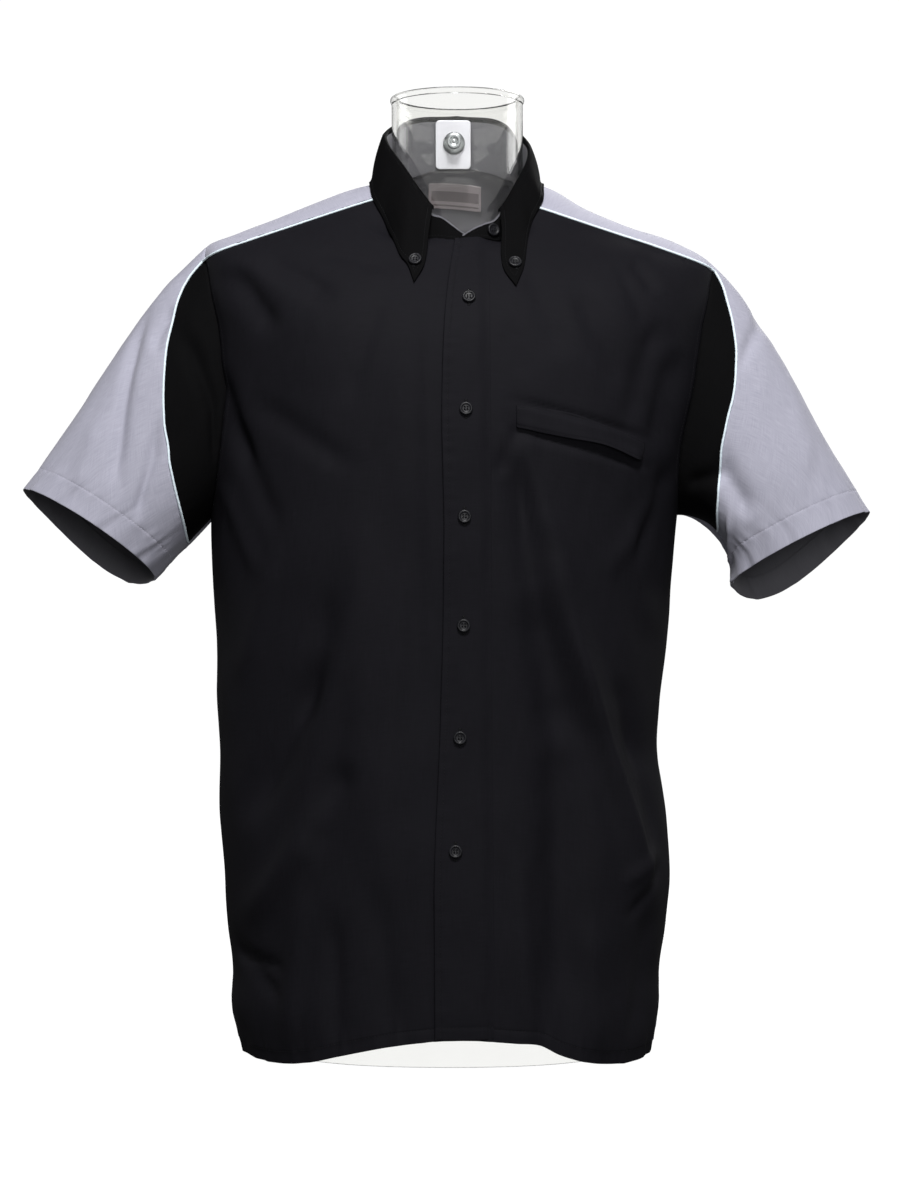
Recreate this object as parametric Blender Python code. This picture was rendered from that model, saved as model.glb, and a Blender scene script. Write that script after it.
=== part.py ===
"""Short-sleeved racing shirt, buttoned, on a clear limbless dress form.

The shirt is one smooth bust surface, worked out from a table of rings, and two sleeve
surfaces that leave it at the armholes. Every sewn piece is a stretch of one of these
surfaces, given a wall. Sizes are in millimetres and turned into metres once, when a
mesh is made. X is to the viewer's right, Y goes back, Z is up; left and right in the
names are the wearer's, so the wearer's right side is at -X.
"""

import math

import bmesh
import bpy
import numpy as np

MM = 0.001
SEAM = 0.22  # each piece stops this far short of its seam line
CLOTH = 1.2  # wall of one layer with its seam allowance
LAYER = 0.35  # space between a piece and what is laid on it
CENTRE = (-3.0, -2.35, 0.0)  # middle of the whole part's box, which goes to the origin

# One row is one ring round the body, from the hem up to the neck seam. level numbers
# the rings; left and right are the wearer's -X and +X reach, front and back the Y
# reach, z_* the heights at those four places, centre the ring's middle, power its
# squareness (2 is an ellipse).
RING_COLUMNS = (
    "level", "minus_x", "plus_x", "front", "back",
    "z_minus", "z_plus", "z_front", "z_back", "centre", "power",
)
RINGS = (
    (0, 187.0, 181.0, 135.0, 134.0, 0, 0, 0, 0, 0.0, 2.25),
    (20, 191.5, 185.5, 135.5, 134.0, 20, 20, 20, 20, 0.0, 2.25),
    (45, 195.5, 188.0, 136.0, 134.0, 45, 45, 45, 45, 0.0, 2.25),
    (72, 194.0, 188.0, 136.0, 133.0, 72, 72, 72, 72, 0.0, 2.25),
    (113, 198.0, 193.5, 136.0, 132.5, 113, 113, 113, 113, 0.0, 2.25),
    (153, 201.0, 196.3, 135.5, 131.5, 153, 153, 153, 153, 0.0, 2.25),
    (193, 204.4, 194.5, 135.0, 131.0, 193, 193, 193, 193, 0.0, 2.25),
    (234, 207.0, 190.0, 135.0, 131.0, 234, 234, 234, 234, 0.0, 2.25),
    (274, 207.0, 185.0, 135.5, 131.5, 274, 274, 274, 274, 0.0, 2.25),
    (314, 209.0, 188.0, 136.0, 133.0, 314, 314, 314, 314, 0.0, 2.25),
    (368, 209.0, 193.6, 137.5, 135.0, 368, 368, 368, 368, 0.0, 2.25),
    (422, 212.4, 198.0, 139.0, 137.5, 422, 422, 422, 422, 0.0, 2.25),
    (481, 213.0, 203.4, 140.0, 139.0, 481, 481, 481, 481, 0.0, 2.25),
    (535, 213.0, 214.0, 140.5, 139.5, 533, 531, 525, 535, 0.0, 2.25),
    (595, 213.5, 228.0, 139.5, 137.0, 593, 590, 568, 598, 0.0, 2.25),
    (650, 217.0, 236.0, 135.0, 131.0, 648, 642, 608, 652, 0.0, 2.25),
    (695, 223.0, 239.0, 127.5, 123.0, 693, 684, 638, 690, 0.0, 2.22),
    (722, 220.5, 233.0, 120.0, 115.5, 719, 705.5, 656, 713, 0.5, 2.2),
    (750, 193.0, 200.0, 111.0, 106.5, 731.5, 724.5, 673, 735, 1.5, 2.15),
    (785, 157.5, 161.0, 101.5, 96.5, 745, 738, 688, 756, 3.0, 2.1),
    (820, 124.2, 122.0, 91.5, 84.0, 758.8, 754.5, 701, 775, 4.5, 2.05),
    (858, 88.0, 94.0, 81.5, 72.0, 772.5, 771, 711.5, 791, 6.0, 2.0),
    (885, 61.5, 74.5, 72.5, 62.0, 779, 779, 718.8, 801, 6.5, 2.0),
)
NECK_LEVEL = 885.0
UNDERARM_LEVEL = 481.0
SHOULDER_LEVEL = 727.0
SIDE_ANGLE = 92.0  # the side seam and the middle of the armhole, from the front

# Large folds, as soft ridges (+) and troughs (-). x and z run from one end to the
# other, as seen from the front or from behind.
FOLDS = (  # face, x0, z0, x1, z1, width, height
    ("front", 53, 545, 82, 458, 13, 3.0),
    ("front", 82, 458, 133, 273, 15, 5.0),
    ("front", 133, 273, 171, 140, 15, 5.0),
    ("front", 62, 512, 76, 400, 14, -3.5),
    ("front", 76, 400, 92, 290, 16, -5.0),
    ("front", 92, 290, 90, 50, 18, -5.5),
    ("front", -117, 342, -172, 222, 13, -5.0),
    ("front", -98, 232, -172, 130, 13, 4.0),
    ("front", -88, 259, -117, 193, 12, -3.0),
    ("front", -75, 480, -70, 180, 20, 3.0),
    ("front", -164, 699, -104, 667, 10, -3.0),
    ("front", -190, 690, -154, 639, 11, -4.0),
    ("front", 110, 655, 150, 581, 12, -3.5),
    ("front", 89, 633, 113, 578, 10, -3.0),
    ("front", 179, 640, 158, 562, 12, -4.0),
    ("front", 195, 614, 177, 540, 11, -3.5),
    ("back", -150, 640, -110, 420, 16, -5.0),
    ("back", 155, 620, 112, 400, 17, -5.0),
    ("back", -95, 430, -120, 60, 20, 5.0),
    ("back", 100, 410, 128, 50, 20, 5.0),
    ("back", -40, 560, -52, 40, 24, -4.5),
    ("back", 48, 520, 60, 50, 22, -4.0),
    ("back", 5, 470, 2, 60, 22, 3.5),
)

# Height of the front hem over x, and of the back hem.
HEM_MIDDLE = (4, 28.6)
HEM_FRONT = ((-192, 8), (-183, 5.0), (-164, 2.6), (-130, 4.6), (-90, 14.2), (-53, 22.3),
             (-11, 27.8), HEM_MIDDLE, (53, 25.6), (78, 22.5), (93, 14.6), (111, 8.0),
             (138, 2.4), (167, 1.6), (178, 4), (190, 8))
HEM_BACK = ((-194, 9), (-164, 4.5), (-120, 6), (-60, 14), (0, 18), (60, 14), (120, 6),
            (164, 4.5), (190, 9))
VENT_TOP = 72.0
VENT_SPREAD_FRONT = 14.0  # degrees that the front's corner stands back from the seam
VENT_SPREAD_BACK = 2.0


def columns(names, rows):
    """Turn a table into a dict of arrays, one for each named column."""
    return {name: np.array([row[i] for row in rows]) for i, name in enumerate(names)}


def curve(x, xs, ys):
    """Smooth curve through (xs, ys), read at x: a cubic with mean slopes at the points."""
    xs = np.asarray(xs, float)
    ys = np.asarray(ys, float)
    x = np.clip(np.asarray(x, float), xs[0], xs[-1])
    steps = np.diff(ys) / np.diff(xs)
    gaps = np.diff(xs)
    slopes = np.empty_like(ys)
    slopes[0], slopes[-1] = steps[0], steps[-1]
    slopes[1:-1] = (steps[:-1] * gaps[1:] + steps[1:] * gaps[:-1]) / (gaps[1:] + gaps[:-1])
    i = np.clip(np.searchsorted(xs, x, side="right") - 1, 0, len(xs) - 2)
    h = gaps[i]
    t = (x - xs[i]) / h
    return (
        (2 * t**3 - 3 * t**2 + 1) * ys[i]
        + (t**3 - 2 * t**2 + t) * h * slopes[i]
        + (3 * t**2 - 2 * t**3) * ys[i + 1]
        + (t**3 - t**2) * h * slopes[i + 1]
    )


def smooth(x, low, high):
    """0 below low, 1 above high, and an even S between."""
    t = np.clip((x - low) / (high - low), 0, 1)
    return t * t * (3 - 2 * t)


def unit(vectors):
    return vectors / np.maximum(np.linalg.norm(vectors, axis=-1, keepdims=True), 1e-9)


def power_of(value, exponent):
    """The value's size to a power, with its sign kept."""
    return np.sign(value) * np.abs(value) ** exponent


RING = columns(RING_COLUMNS, RINGS)


class Bust:
    """The shirt's body as one closed surface of angle (degrees from the front towards
    +X) and level."""

    def __init__(self, inset=None):
        self.inset = inset
        self.search = None

    def plain(self, angle, level):
        """The surface without its folds."""
        angle = np.radians(np.asarray(angle, float))
        level = np.asarray(level, float)
        ring = {k: curve(level, RING["level"], RING[k]) for k in RING_COLUMNS[1:]}
        if self.inset:
            for key, (levels, values) in self.inset.items():
                ring[key] = ring[key] - curve(level, levels, values)
        across = np.sin(angle)
        ahead = np.cos(angle)
        grow = 2 / ring["power"]
        side = np.where(across > 0, ring["plus_x"] - ring["centre"],
                        ring["minus_x"] + ring["centre"])
        reach = np.where(ahead > 0, ring["front"], ring["back"])
        x = ring["centre"] + side * power_of(across, grow)
        y = -reach * power_of(ahead, grow)
        # the height passes from the left or right value to the front or back one
        turn = 0.5 + 0.5 * np.clip(across * 6, -1, 1)
        z_side = ring["z_minus"] * (1 - turn) + ring["z_plus"] * turn
        z_end = np.where(ahead > 0, ring["z_front"], ring["z_back"])
        # the neck seam stays low as far as the collar's points, then climbs
        off_front = np.degrees(np.arccos(np.clip(ahead, -1, 1)))
        low_neck = 0.28 * smooth(level, 820, NECK_LEVEL) * np.exp(-(((off_front - 35) / 14) ** 2))
        z = z_side + (z_end - z_side) * (ahead**2 + low_neck)
        return np.stack(np.broadcast_arrays(x, y, z), -1)

    def point(self, angle, level):
        """The surface with its folds, which push it out from the middle."""
        base = self.plain(angle, level)
        turn = np.radians(np.asarray(angle, float))
        out = np.stack(np.broadcast_arrays(np.sin(turn), -np.cos(turn), turn * 0), -1)
        ahead = np.cos(turn)
        depth = np.zeros(base.shape[:-1])
        for face, x0, z0, x1, z1, width, height in FOLDS:
            facing = smooth(ahead if face == "front" else -ahead, 0.12, 0.4)
            run = np.array([x1 - x0, z1 - z0], float)
            length = float(np.hypot(*run))
            offset = np.stack([base[..., 0] - x0, base[..., 2] - z0], -1)
            along = offset @ run / length**2
            away = (offset[..., 0] * run[1] - offset[..., 1] * run[0]) / length
            fade = smooth(along, -0.18, 0.22) * (1 - smooth(along, 0.78, 1.18))
            depth += height * facing * fade * np.exp(-((away / width) ** 2))
        return base + out * depth[..., None]

    def normal(self, angle, level):
        """Outward unit normal, from differences along the two directions."""
        d_angle = self.point(angle + 0.5, level) - self.point(angle - 0.5, level)
        level = np.clip(level, 1.5, NECK_LEVEL - 1.5)
        d_level = self.point(angle, level + 1.5) - self.point(angle, level - 1.5)
        return unit(np.cross(d_angle, d_level))

    def angle_at(self, x, level):
        """Angle on the front where the ring at this level is at x."""
        ring = {k: curve(level, RING["level"], RING[k])
                for k in ("minus_x", "plus_x", "centre", "power")}
        off = np.asarray(x, float) - ring["centre"]
        side = np.where(off > 0, ring["plus_x"] - ring["centre"],
                        ring["minus_x"] + ring["centre"])
        return np.degrees(np.arcsin(power_of(off / side, ring["power"] / 2)))

    def find(self, x, z):
        """Angle and level on the front at x and z as seen from the front."""
        if self.search is None:
            grids = np.meshgrid(np.linspace(-100, 100, 201), np.linspace(0, NECK_LEVEL, 297))
            self.search = (*grids, self.point(*grids))
        grid_angle, grid_level, grid = self.search
        found = []
        for px, pz in zip(np.atleast_1d(x), np.atleast_1d(z)):
            k = np.argmin((grid[..., 0] - px) ** 2 + (grid[..., 2] - pz) ** 2)
            angle, level = grid_angle.flat[k], grid_level.flat[k]
            for _ in range(4):
                here = self.point(angle, level)
                d_a = (self.point(angle + 0.2, level) - here) / 0.2
                d_l = (self.point(angle, min(level + 0.5, NECK_LEVEL)) - here) / 0.5
                slope = np.array([[d_a[0], d_l[0]], [d_a[2], d_l[2]]])
                if abs(np.linalg.det(slope)) < 1e-3:
                    break
                step = np.linalg.solve(slope, [px - here[0], pz - here[2]])
                angle += float(np.clip(step[0], -3, 3))
                level = float(np.clip(level + np.clip(step[1], -8, 8), 0, NECK_LEVEL))
            found.append((angle, level))
        return np.array(found)


BODY = Bust()

# One row for each side: how wide the armhole opens on the bust, where the yoke's
# front seam meets it, where the sleeve ends, how far its cuff rises in front and drops
# behind for each millimetre of depth, and how far its top and its underside bow out.
SIDE_COLUMNS = (
    "sign", "armhole_front", "armhole_back", "yoke_corner_z", "yoke_neck_angle",
    "cuff_outer_x", "cuff_outer_z", "cuff_inner_x", "cuff_inner_z", "cuff_rise",
    "cuff_drop", "top_swell", "under_swell",
)
SIDES = (
    (-1, 24.0, 27.0, 706.6, 60.0, 381.0, 500.5, 265.0, 424.5, 0.19, 0.31, 64.0, 0.0),
    (+1, 24.0, 27.0, 697.5, 54.0, 375.0, 481.0, 252.0, 419.0, 0.16, 0.45, 60.0, 80.0),
)
BACK_CORNER = 128.0  # where the yoke's back seam meets the armhole, in turn
# Points round the armhole, shared by every piece that meets there.
FRONT_STOPS, TOP_STOPS, BACK_STOPS = 14, 7, 9
BACK_COLS = 20  # across the back, shared with the yoke
LOW_ROWS = 14  # rows of the fronts and back below the underarm
SEAM_STOPS = 8  # points along the yoke's front seam
CUFF_DEPTH = 53.5  # half of the cuff's opening from front to back
CUFF_FORWARD = -12.0
CUFF_AHEAD = np.array([0.0, -0.957, 0.0])
CUFF_SAG = 0.5  # how much more the cuff's back drops by the underarm than by its top
ARMHOLE_SQUARENESS = 2.4

# The piped seam on each sleeve's front, as seen from the front, from the yoke down.
PIPED = {
    -1: ((-215, 703), (-229, 688), (-240, 665), (-249, 630), (-252, 595), (-251, 560),
         (-248, 525), (-241, 490), (-233, 457)),
    +1: ((232, 697), (250, 666), (256, 640), (258.5, 604), (255, 578), (249, 552),
         (240, 517), (237.5, 491), (237, 470)),
}


PANEL_TIP = 0.013  # width of the sleeve panel's upper tip, as a share of the sleeve


class Sleeve:
    """Armhole on the bust and the sleeve that leaves it. turn is degrees round the
    armhole: 0 at the front, 90 at the shoulder, 180 at the back, -90 underarm."""

    def __init__(self, row):
        side = dict(zip(SIDE_COLUMNS, row))
        self.sign = side["sign"]
        self.side = side
        outer = np.array([self.sign * side["cuff_outer_x"], CUFF_FORWARD,
                          side["cuff_outer_z"]])
        inner = np.array([self.sign * side["cuff_inner_x"], CUFF_FORWARD,
                          side["cuff_inner_z"]])
        self.middle = (outer + inner) / 2
        self.long_axis = (outer - inner) / 2
        slope = abs(self.long_axis[2] / self.long_axis[0])
        self.tilt = np.array([-self.sign * slope, 0.0, 1.0])
        self.corner = self.turn_at_height(side["yoke_corner_z"])
        t = np.linspace(0, 1, FRONT_STOPS + 1)
        self.front_turns = -90 + (self.corner + 90) * (1 - (1 - t) ** 1.25)
        self.top_turns = np.linspace(self.corner, BACK_CORNER, TOP_STOPS + 1)
        self.back_turns = np.linspace(BACK_CORNER, 270, BACK_STOPS + 1)
        self.piped_rows = None

    def seam(self, turn):
        """Angle and level on the bust of a point of the armhole."""
        t = np.radians(turn)
        grow = 2 / ARMHOLE_SQUARENESS
        wide = np.where(np.cos(t) > 0, self.side["armhole_front"],
                        self.side["armhole_back"])
        angle = SIDE_ANGLE - wide * power_of(np.cos(t), grow)
        middle = (UNDERARM_LEVEL + SHOULDER_LEVEL) / 2
        half = (SHOULDER_LEVEL - UNDERARM_LEVEL) / 2
        return self.sign * angle, middle + half * power_of(np.sin(t), grow)

    def turn_at_height(self, z):
        turns = np.linspace(0, 90, 361)
        heights = BODY.point(*self.seam(turns))[..., 2]
        return float(np.interp(z, heights, turns))

    def point(self, turn, along):
        """A cubic from the armhole (along 0) to the cuff (along 1): the top leaves the
        shoulder in its line and bends down, front and back swell a little."""
        turn = np.asarray(turn, float)
        s = np.asarray(along, float)[..., None]
        t = np.radians(turn)[..., None]
        start = BODY.point(*self.seam(turn))
        ahead = CUFF_DEPTH * np.cos(t)
        drop = self.side["cuff_drop"] * (1 - CUFF_SAG * np.sin(t))
        lean = np.where(ahead > 0, self.side["cuff_rise"], drop)
        end = (self.middle + self.long_axis * np.sin(t) + ahead * lean * self.tilt
               + ahead * CUFF_AHEAD)
        chord = end - start
        up = np.clip(np.sin(t), 0, 1) ** 1.5
        swell = self.side["top_swell"] * up * np.array([0.8 * self.sign, 0, 0.59])
        swell = swell - np.array([0, 34.0, 0]) * np.cos(t)
        bow = self.side["under_swell"] * np.clip(-np.sin(t), 0, 1) ** 3
        bow = bow * np.array([0.773 * self.sign, 0, 0.634])
        first = chord * 0.8 + swell + bow
        last = chord - bow
        return (
            (2 * s**3 - 3 * s**2 + 1) * start
            + (s**3 - 2 * s**2 + s) * first
            + (3 * s**2 - 2 * s**3) * end
            + (s**3 - s**2) * last
        )

    def normal(self, turn, along):
        turn = np.asarray(turn, float)
        along = np.asarray(along, float)
        near = np.clip(along, 0.004, 0.996)
        d_turn = self.point(turn + 0.5, along) - self.point(turn - 0.5, along)
        d_along = self.point(turn, near + 0.004) - self.point(turn, near - 0.004)
        return unit(np.cross(d_along, d_turn)) * self.sign

    def mitre(self, turn):
        """The direction that halves the corner between body and sleeve, lengthened
        so that both walls keep their thickness."""
        body = BODY.normal(*self.seam(turn))
        sleeve = self.normal(turn, np.zeros_like(np.asarray(turn, float)))
        half = unit(body + sleeve)
        return half / np.maximum(np.sum(half * body, -1, keepdims=True), 0.4)

    def find(self, x, z):
        """Turn and along on the sleeve's front at x and z."""
        grid_turn, grid_along = np.meshgrid(np.linspace(-100, 95, 196),
                                            np.linspace(0, 1, 401))
        grid = self.point(grid_turn, grid_along)
        k = np.argmin((grid[..., 0] - x) ** 2 + (grid[..., 2] - z) ** 2)
        return grid_turn.flat[k], grid_along.flat[k]

    def piped(self, turn):
        """How far along the sleeve the piped seam is, from underarm to the yoke."""
        if self.piped_rows is None:
            rows = [self.find(x, z) for x, z in PIPED[self.sign]]
            rows = [(t, s) for t, s in rows if -82 < t < self.corner - 4]
            rows.append((self.corner, PANEL_TIP))
            rows.append((-90.0, max(rows, key=lambda r: -r[0])[1]))
            self.piped_rows = np.array(sorted(rows)).T
        return np.clip(curve(turn, *self.piped_rows), PANEL_TIP, 1)


SLEEVES = {row[0]: Sleeve(row) for row in SIDES}

# Reach and height of the form inside the shirt: how much smaller than the shirt's
# rings it is, by level. It carries the yoke, and narrows to a waist below.
FORM_GAP = {
    "minus_x": ((0, 200, 330, 470, 600, 690, 722, 750, 885), (38, 52, 46, 30, 22, 18, 10, 3, 0)),
    "plus_x": ((0, 200, 330, 470, 600, 690, 722, 750, 885), (34, 42, 38, 24, 24, 20, 11, 3, 0)),
    "front": ((0, 200, 330, 470, 600, 690, 750, 885), (34, 44, 32, 12, 5, 3, 1.5, 1.5)),
    "back": ((0, 200, 330, 470, 600, 690, 750, 800, 885), (30, 42, 30, 12, 5, 3, 2, 3.2, 3.0)),
    "z_minus": ((0, 600, 722, 885), (0, 0, 2.6, 1.7)),
    "z_plus": ((0, 600, 722, 885), (0, 0, 2.6, 1.7)),
    "z_front": ((0, 600, 722, 885), (0, 0, 0.8, 1.2)),
    "z_back": ((0, 600, 722, 800, 885), (0, 0, 0.8, 3.0, 2.6)),
}
FORM_WALL = 4.0
# From the middle of the cloth to the form's outside: on the shoulder's ridge, which
# carries the yoke, and elsewhere.
FORM_CLEAR_RIDGE, FORM_CLEAR = 2.4, 4.0
NECK_X = 6.5
NECK_TOP = 855.5
# Rings of the form's neck above the bust: radius, then heights at the front, the
# sides and the back.
NECK_RINGS = (
    (60.4, 728, 783, 803),
    (59.4, 742, 794, 812),
    (59.0, 765, 808, 822),
    (59.0, 802, 828, 837),
    (59.0, 848, 849, 850),
    (60.2, 851, 851.5, 852),
    (60.2, 854, 854, 854),
    (58.8, NECK_TOP, NECK_TOP, NECK_TOP),
)

# Fold line of the collar: height over the angle round the neck.
FOLD_LINE = ((-180, 848.6), (-107, 829.5), (-75, 812), (-46, 785.6), (-31, 765),
             (-19, 748.6), (-8, 738), (10, 730), (22, 738), (33, 747), (55, 775.2),
             (80, 800), (107, 818.6), (180, 848.6))
STAND_TOP = {"half": 64.5, "front": 67.5, "back": 60.5}
STAND_WALL = 1.4
STAND_LIFT = 2.0  # from the neck seam to the stand's lower edge
STAND_START = 27.0  # the button end lies under the buttonhole end
STAND_END = -360.0 - 2.0
STAND_LAP = 2.4

# Outer edge of the collar's fall: fold angle, then x, y, z; y is None where the edge
# lies on the shirt's front.
FALL_EDGE = (
    (-19, -31.0, None, 677.3),
    (-26, -36.4, None, 693.3),
    (-34, -43.4, None, 703.3),
    (-46, -56.0, None, 733.0),
    (-59, -66.7, None, 755.2),
    (-78, -70.5, -18.0, 768.0),
    (-107, -68.5, 27.0, 781.0),
    (-142, -42.0, 66.0, 792.0),
    (-180, 6.5, 80.0, 797.0),
    (-218, 54.0, 66.0, 792.0),
    (-253, 79.5, 27.0, 780.0),
    (-282, 81.5, -18.0, 766.0),
    (-299, 81.0, None, 753.7),
    (-308, 71.5, None, 735.0),
    (-316, 67.4, None, 716.5),
    (-322, 64.1, None, 692.9),
    (-327, 56.9, None, 673.9),
)
FALL_WALL = 1.5
LEAF_LIFT = 2.2

PLACKET_LEFT = ((29, -12.8), (194, -12.5), (290, -8.5), (460, -5.1), (590, -6.7),
                (670, -2.6), (719, 4.4))
PLACKET_RIGHT = ((29, 38.3), (460, 35.5), (590, 35.0), (719, 34.0))
PLACKET_HEM = 29.5
PLACKET_LIFT = CLOTH / 2 + LAYER + 0.15
PLACKET_WALL = 1.6

# Buttons seen from the front: x and z of each, and what each lies on.
BUTTON_WIDE = 11.5
BUTTON_THICK = 2.6
PLACKET_BUTTONS = ((16.3, 663.6), (13.6, 566.4), (12.3, 474.9), (11.6, 382.3),
                   (8.5, 286.8), (4.7, 190.3))
LEAF_BUTTONS = ((-29.8, 697.5), (56.7, 696.0))
STAND_BUTTON = (35.0, 727.6)

POCKET_TOP = ((56, 570), (101, 564.5), (139, 552), (168, 541))
POCKET_BOTTOM = ((56, 552), (101, 543), (132, 537), (165, 525))
LABEL = {"x": (-16.6, 29.6), "z": (769.0, 794.0), "wall": 0.9}
PLATE = {"x": (-13.8, 19.4), "z": (799.0, 844.0), "y": (48.9, 50.5)}
KNOB = {"x": 3.7, "z": 822.5, "face": 32.7, "radius": 7.4, "flange": 9.6}
PIPING_RADIUS = 1.15


# ---------------------------------------------------------------- meshes and finishes

def finish(name, colour, roughness=0.8, metallic=0.0):
    """A plain Principled material."""
    material = bpy.data.materials.new(name)
    material.use_nodes = True
    shader = material.node_tree.nodes["Principled BSDF"]
    shader.inputs["Base Color"].default_value = (*colour, 1.0)
    shader.inputs["Roughness"].default_value = roughness
    shader.inputs["Metallic"].default_value = metallic
    material.diffuse_color = (*colour, 1.0)
    return material


BLACK = (0.012, 0.012, 0.015)
GREY = (0.46, 0.45, 0.53)
WHITE = (0.78, 0.82, 0.85)
BUTTON_GREY = (0.03, 0.03, 0.035)
CLEAR = (0.80, 0.84, 0.84)
METAL = (0.60, 0.61, 0.62)


def make(name, vertices, faces, colour, roughness=0.8, metallic=0.0):
    """One closed solid from points in millimetres, facing outwards."""
    mesh = bpy.data.meshes.new(name)
    placed = np.asarray(vertices, float) - np.array(CENTRE)
    mesh.from_pydata((placed * MM).tolist(), [], faces)
    work = bmesh.new()
    work.from_mesh(mesh)
    bmesh.ops.recalc_face_normals(work, faces=work.faces)
    if work.calc_volume(signed=True) < 0:
        bmesh.ops.reverse_faces(work, faces=work.faces)
    work.to_mesh(mesh)
    work.free()
    mesh.shade_smooth()
    mesh.set_sharp_from_angle(angle=math.radians(50))
    mesh.materials.append(finish(name + "_finish", colour, roughness, metallic))
    thing = bpy.data.objects.new(name, mesh)
    bpy.context.scene.collection.objects.link(thing)
    return thing


def wall(name, middle, away, outward, inward, colour, roughness=0.8, around=False):
    """A sheet given a wall: a grid of points, moved outward and inward along away,
    and closed along its edges. around joins the last column to the first."""
    rows, cols = middle.shape[:2]
    outer = (middle + away * np.broadcast_to(outward, middle.shape[:2])[..., None])
    inner = (middle - away * np.broadcast_to(inward, middle.shape[:2])[..., None])
    vertices = np.concatenate([outer.reshape(-1, 3), inner.reshape(-1, 3)])
    ids = np.arange(rows * cols).reshape(rows, cols)
    if around:
        ids = np.concatenate([ids, ids[:, :1]], axis=1)
    a, b, c, d = ids[:-1, :-1], ids[:-1, 1:], ids[1:, 1:], ids[1:, :-1]
    sheet = np.stack([a, b, c, d], -1).reshape(-1, 4)
    back = rows * cols
    faces = [tuple(f) for f in sheet] + [tuple(f[::-1] + back) for f in sheet]
    edges = [ids[0], ids[-1][::-1]]
    if not around:
        edges += [ids[:, -1], ids[:, 0][::-1]]
    for edge in edges:
        faces += [(p, p + back, q + back, q) for p, q in zip(edge[:-1], edge[1:])]
    faces = [tuple(int(i) for i in f) for f in faces]
    return make(name, vertices, faces, colour, roughness)


def pull_in(grid, edges, gap=SEAM):
    """Draw the named edges of a grid of points back from their seam lines."""
    grid = grid.copy()
    slices = {
        "start": (np.s_[:, 0], np.s_[:, 1]), "end": (np.s_[:, -1], np.s_[:, -2]),
        "low": (np.s_[0], np.s_[1]), "high": (np.s_[-1], np.s_[-2]),
    }
    for edge in edges:
        here, inside = slices[edge]
        along = unit(np.gradient(grid[here], axis=0))
        inwards = grid[inside] - grid[here]
        inwards = inwards - along * np.sum(inwards * along, -1, keepdims=True)
        grid[here] = grid[here] + unit(inwards) * gap
    return grid


def patch(low, high, start, end):
    """Fill a grid of (angle, level) between four edges that share their corners."""
    u = np.linspace(0, 1, len(low))[None, :, None]
    v = np.linspace(0, 1, len(start))[:, None, None]
    corners = ((1 - u) * (1 - v) * low[0] + u * (1 - v) * low[-1]
               + (1 - u) * v * high[0] + u * v * high[-1])
    return ((1 - v) * low[None] + v * high[None]
            + (1 - u) * start[:, None] + u * end[:, None] - corners)


def pairs(angle, level):
    return np.stack(np.broadcast_arrays(angle, level), -1).astype(float)


def on_front(x, z, lift=0.0):
    """Point lift away from the shirt's front that is seen at x and z, its normal, and
    the angle and level under it."""
    target = np.array([x, z], float)
    aim = target.copy()
    for _ in range(4):
        angle, level = BODY.find(aim[0], aim[1])[0]
        normal = BODY.normal(np.array(angle), np.array(level))
        point = BODY.point(angle, level) + normal * lift
        aim = aim + (target - point[[0, 2]])
    return point, normal, (angle, level)


SKIN_ANGLE, SKIN_LEVEL = np.meshgrid(np.arange(-180, 180, 2.5), np.arange(440, 886, 4.0))
SKIN_POINT = BODY.point(SKIN_ANGLE, SKIN_LEVEL).reshape(-1, 3)
SKIN_NORMAL = BODY.normal(SKIN_ANGLE, SKIN_LEVEL).reshape(-1, 3)


def keep_off(points, least, inside=False):
    """Push points until each is at least this far outside (or inside) the shirt."""
    flat = points.reshape(-1, 3).copy()
    way = -1 if inside else 1
    for _ in range(3):
        for part in np.array_split(np.arange(len(flat)), 8):
            away = np.linalg.norm(flat[part, None] - SKIN_POINT[None], axis=-1)
            near = np.argmin(away, axis=1)
            height = way * np.sum((flat[part] - SKIN_POINT[near]) * SKIN_NORMAL[near], axis=-1)
            push = np.clip(np.broadcast_to(least, len(flat))[part] - height, 0, 30)
            flat[part] += way * SKIN_NORMAL[near] * push[:, None]
    return flat.reshape(points.shape)


# ------------------------------------------------------------------- sewn body pieces

def hem_level(angle, table):
    x = BODY.plain(angle, 12.0)[..., 0]
    return curve(x, *np.array(table).T)


def yoke_seam(sign, count):
    """Angle and level along the yoke's front seam, from the neck to the armhole: a
    straight line as seen from the front."""
    sleeve = SLEEVES[sign]
    neck_angle = sign * sleeve.side["yoke_neck_angle"]
    neck = BODY.point(neck_angle, NECK_LEVEL)
    corner_angle, corner_level = sleeve.seam(sleeve.corner)
    corner = BODY.point(corner_angle, corner_level)
    t = np.linspace(0, 1, count + 1)[1:-1]
    line = BODY.find(neck[0] + t * (corner[0] - neck[0]), neck[2] + t * (corner[2] - neck[2]))
    return np.concatenate([[(neck_angle, NECK_LEVEL)], line,
                           [(float(corner_angle), float(corner_level))]])


def side_seam(sign, low, count, spread):
    """From the hem to the underarm. Below the vent's top it swings towards the
    front by spread degrees."""
    level = np.linspace(low, UNDERARM_LEVEL, count + 1)
    swing = spread * (1 - smooth(level, 5.0, VENT_TOP)) ** 0.8
    return pairs(sign * (SIDE_ANGLE - swing), level)


def front_levels(hem):
    """Levels of the rows at the front edge, which the placket shares."""
    low = np.linspace(hem, UNDERARM_LEVEL, LOW_ROWS + 1)
    high = np.linspace(UNDERARM_LEVEL, NECK_LEVEL, FRONT_STOPS + 1)[1:]
    return np.concatenate([low, high])


def placket_angle(level, table, shift=0.0):
    """Angle on the front of one edge of the placket, from its table of z and x."""
    z = curve(level, RING["level"], RING["z_front"])
    return BODY.angle_at(curve(z, *np.array(table).T) + shift, level)


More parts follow.
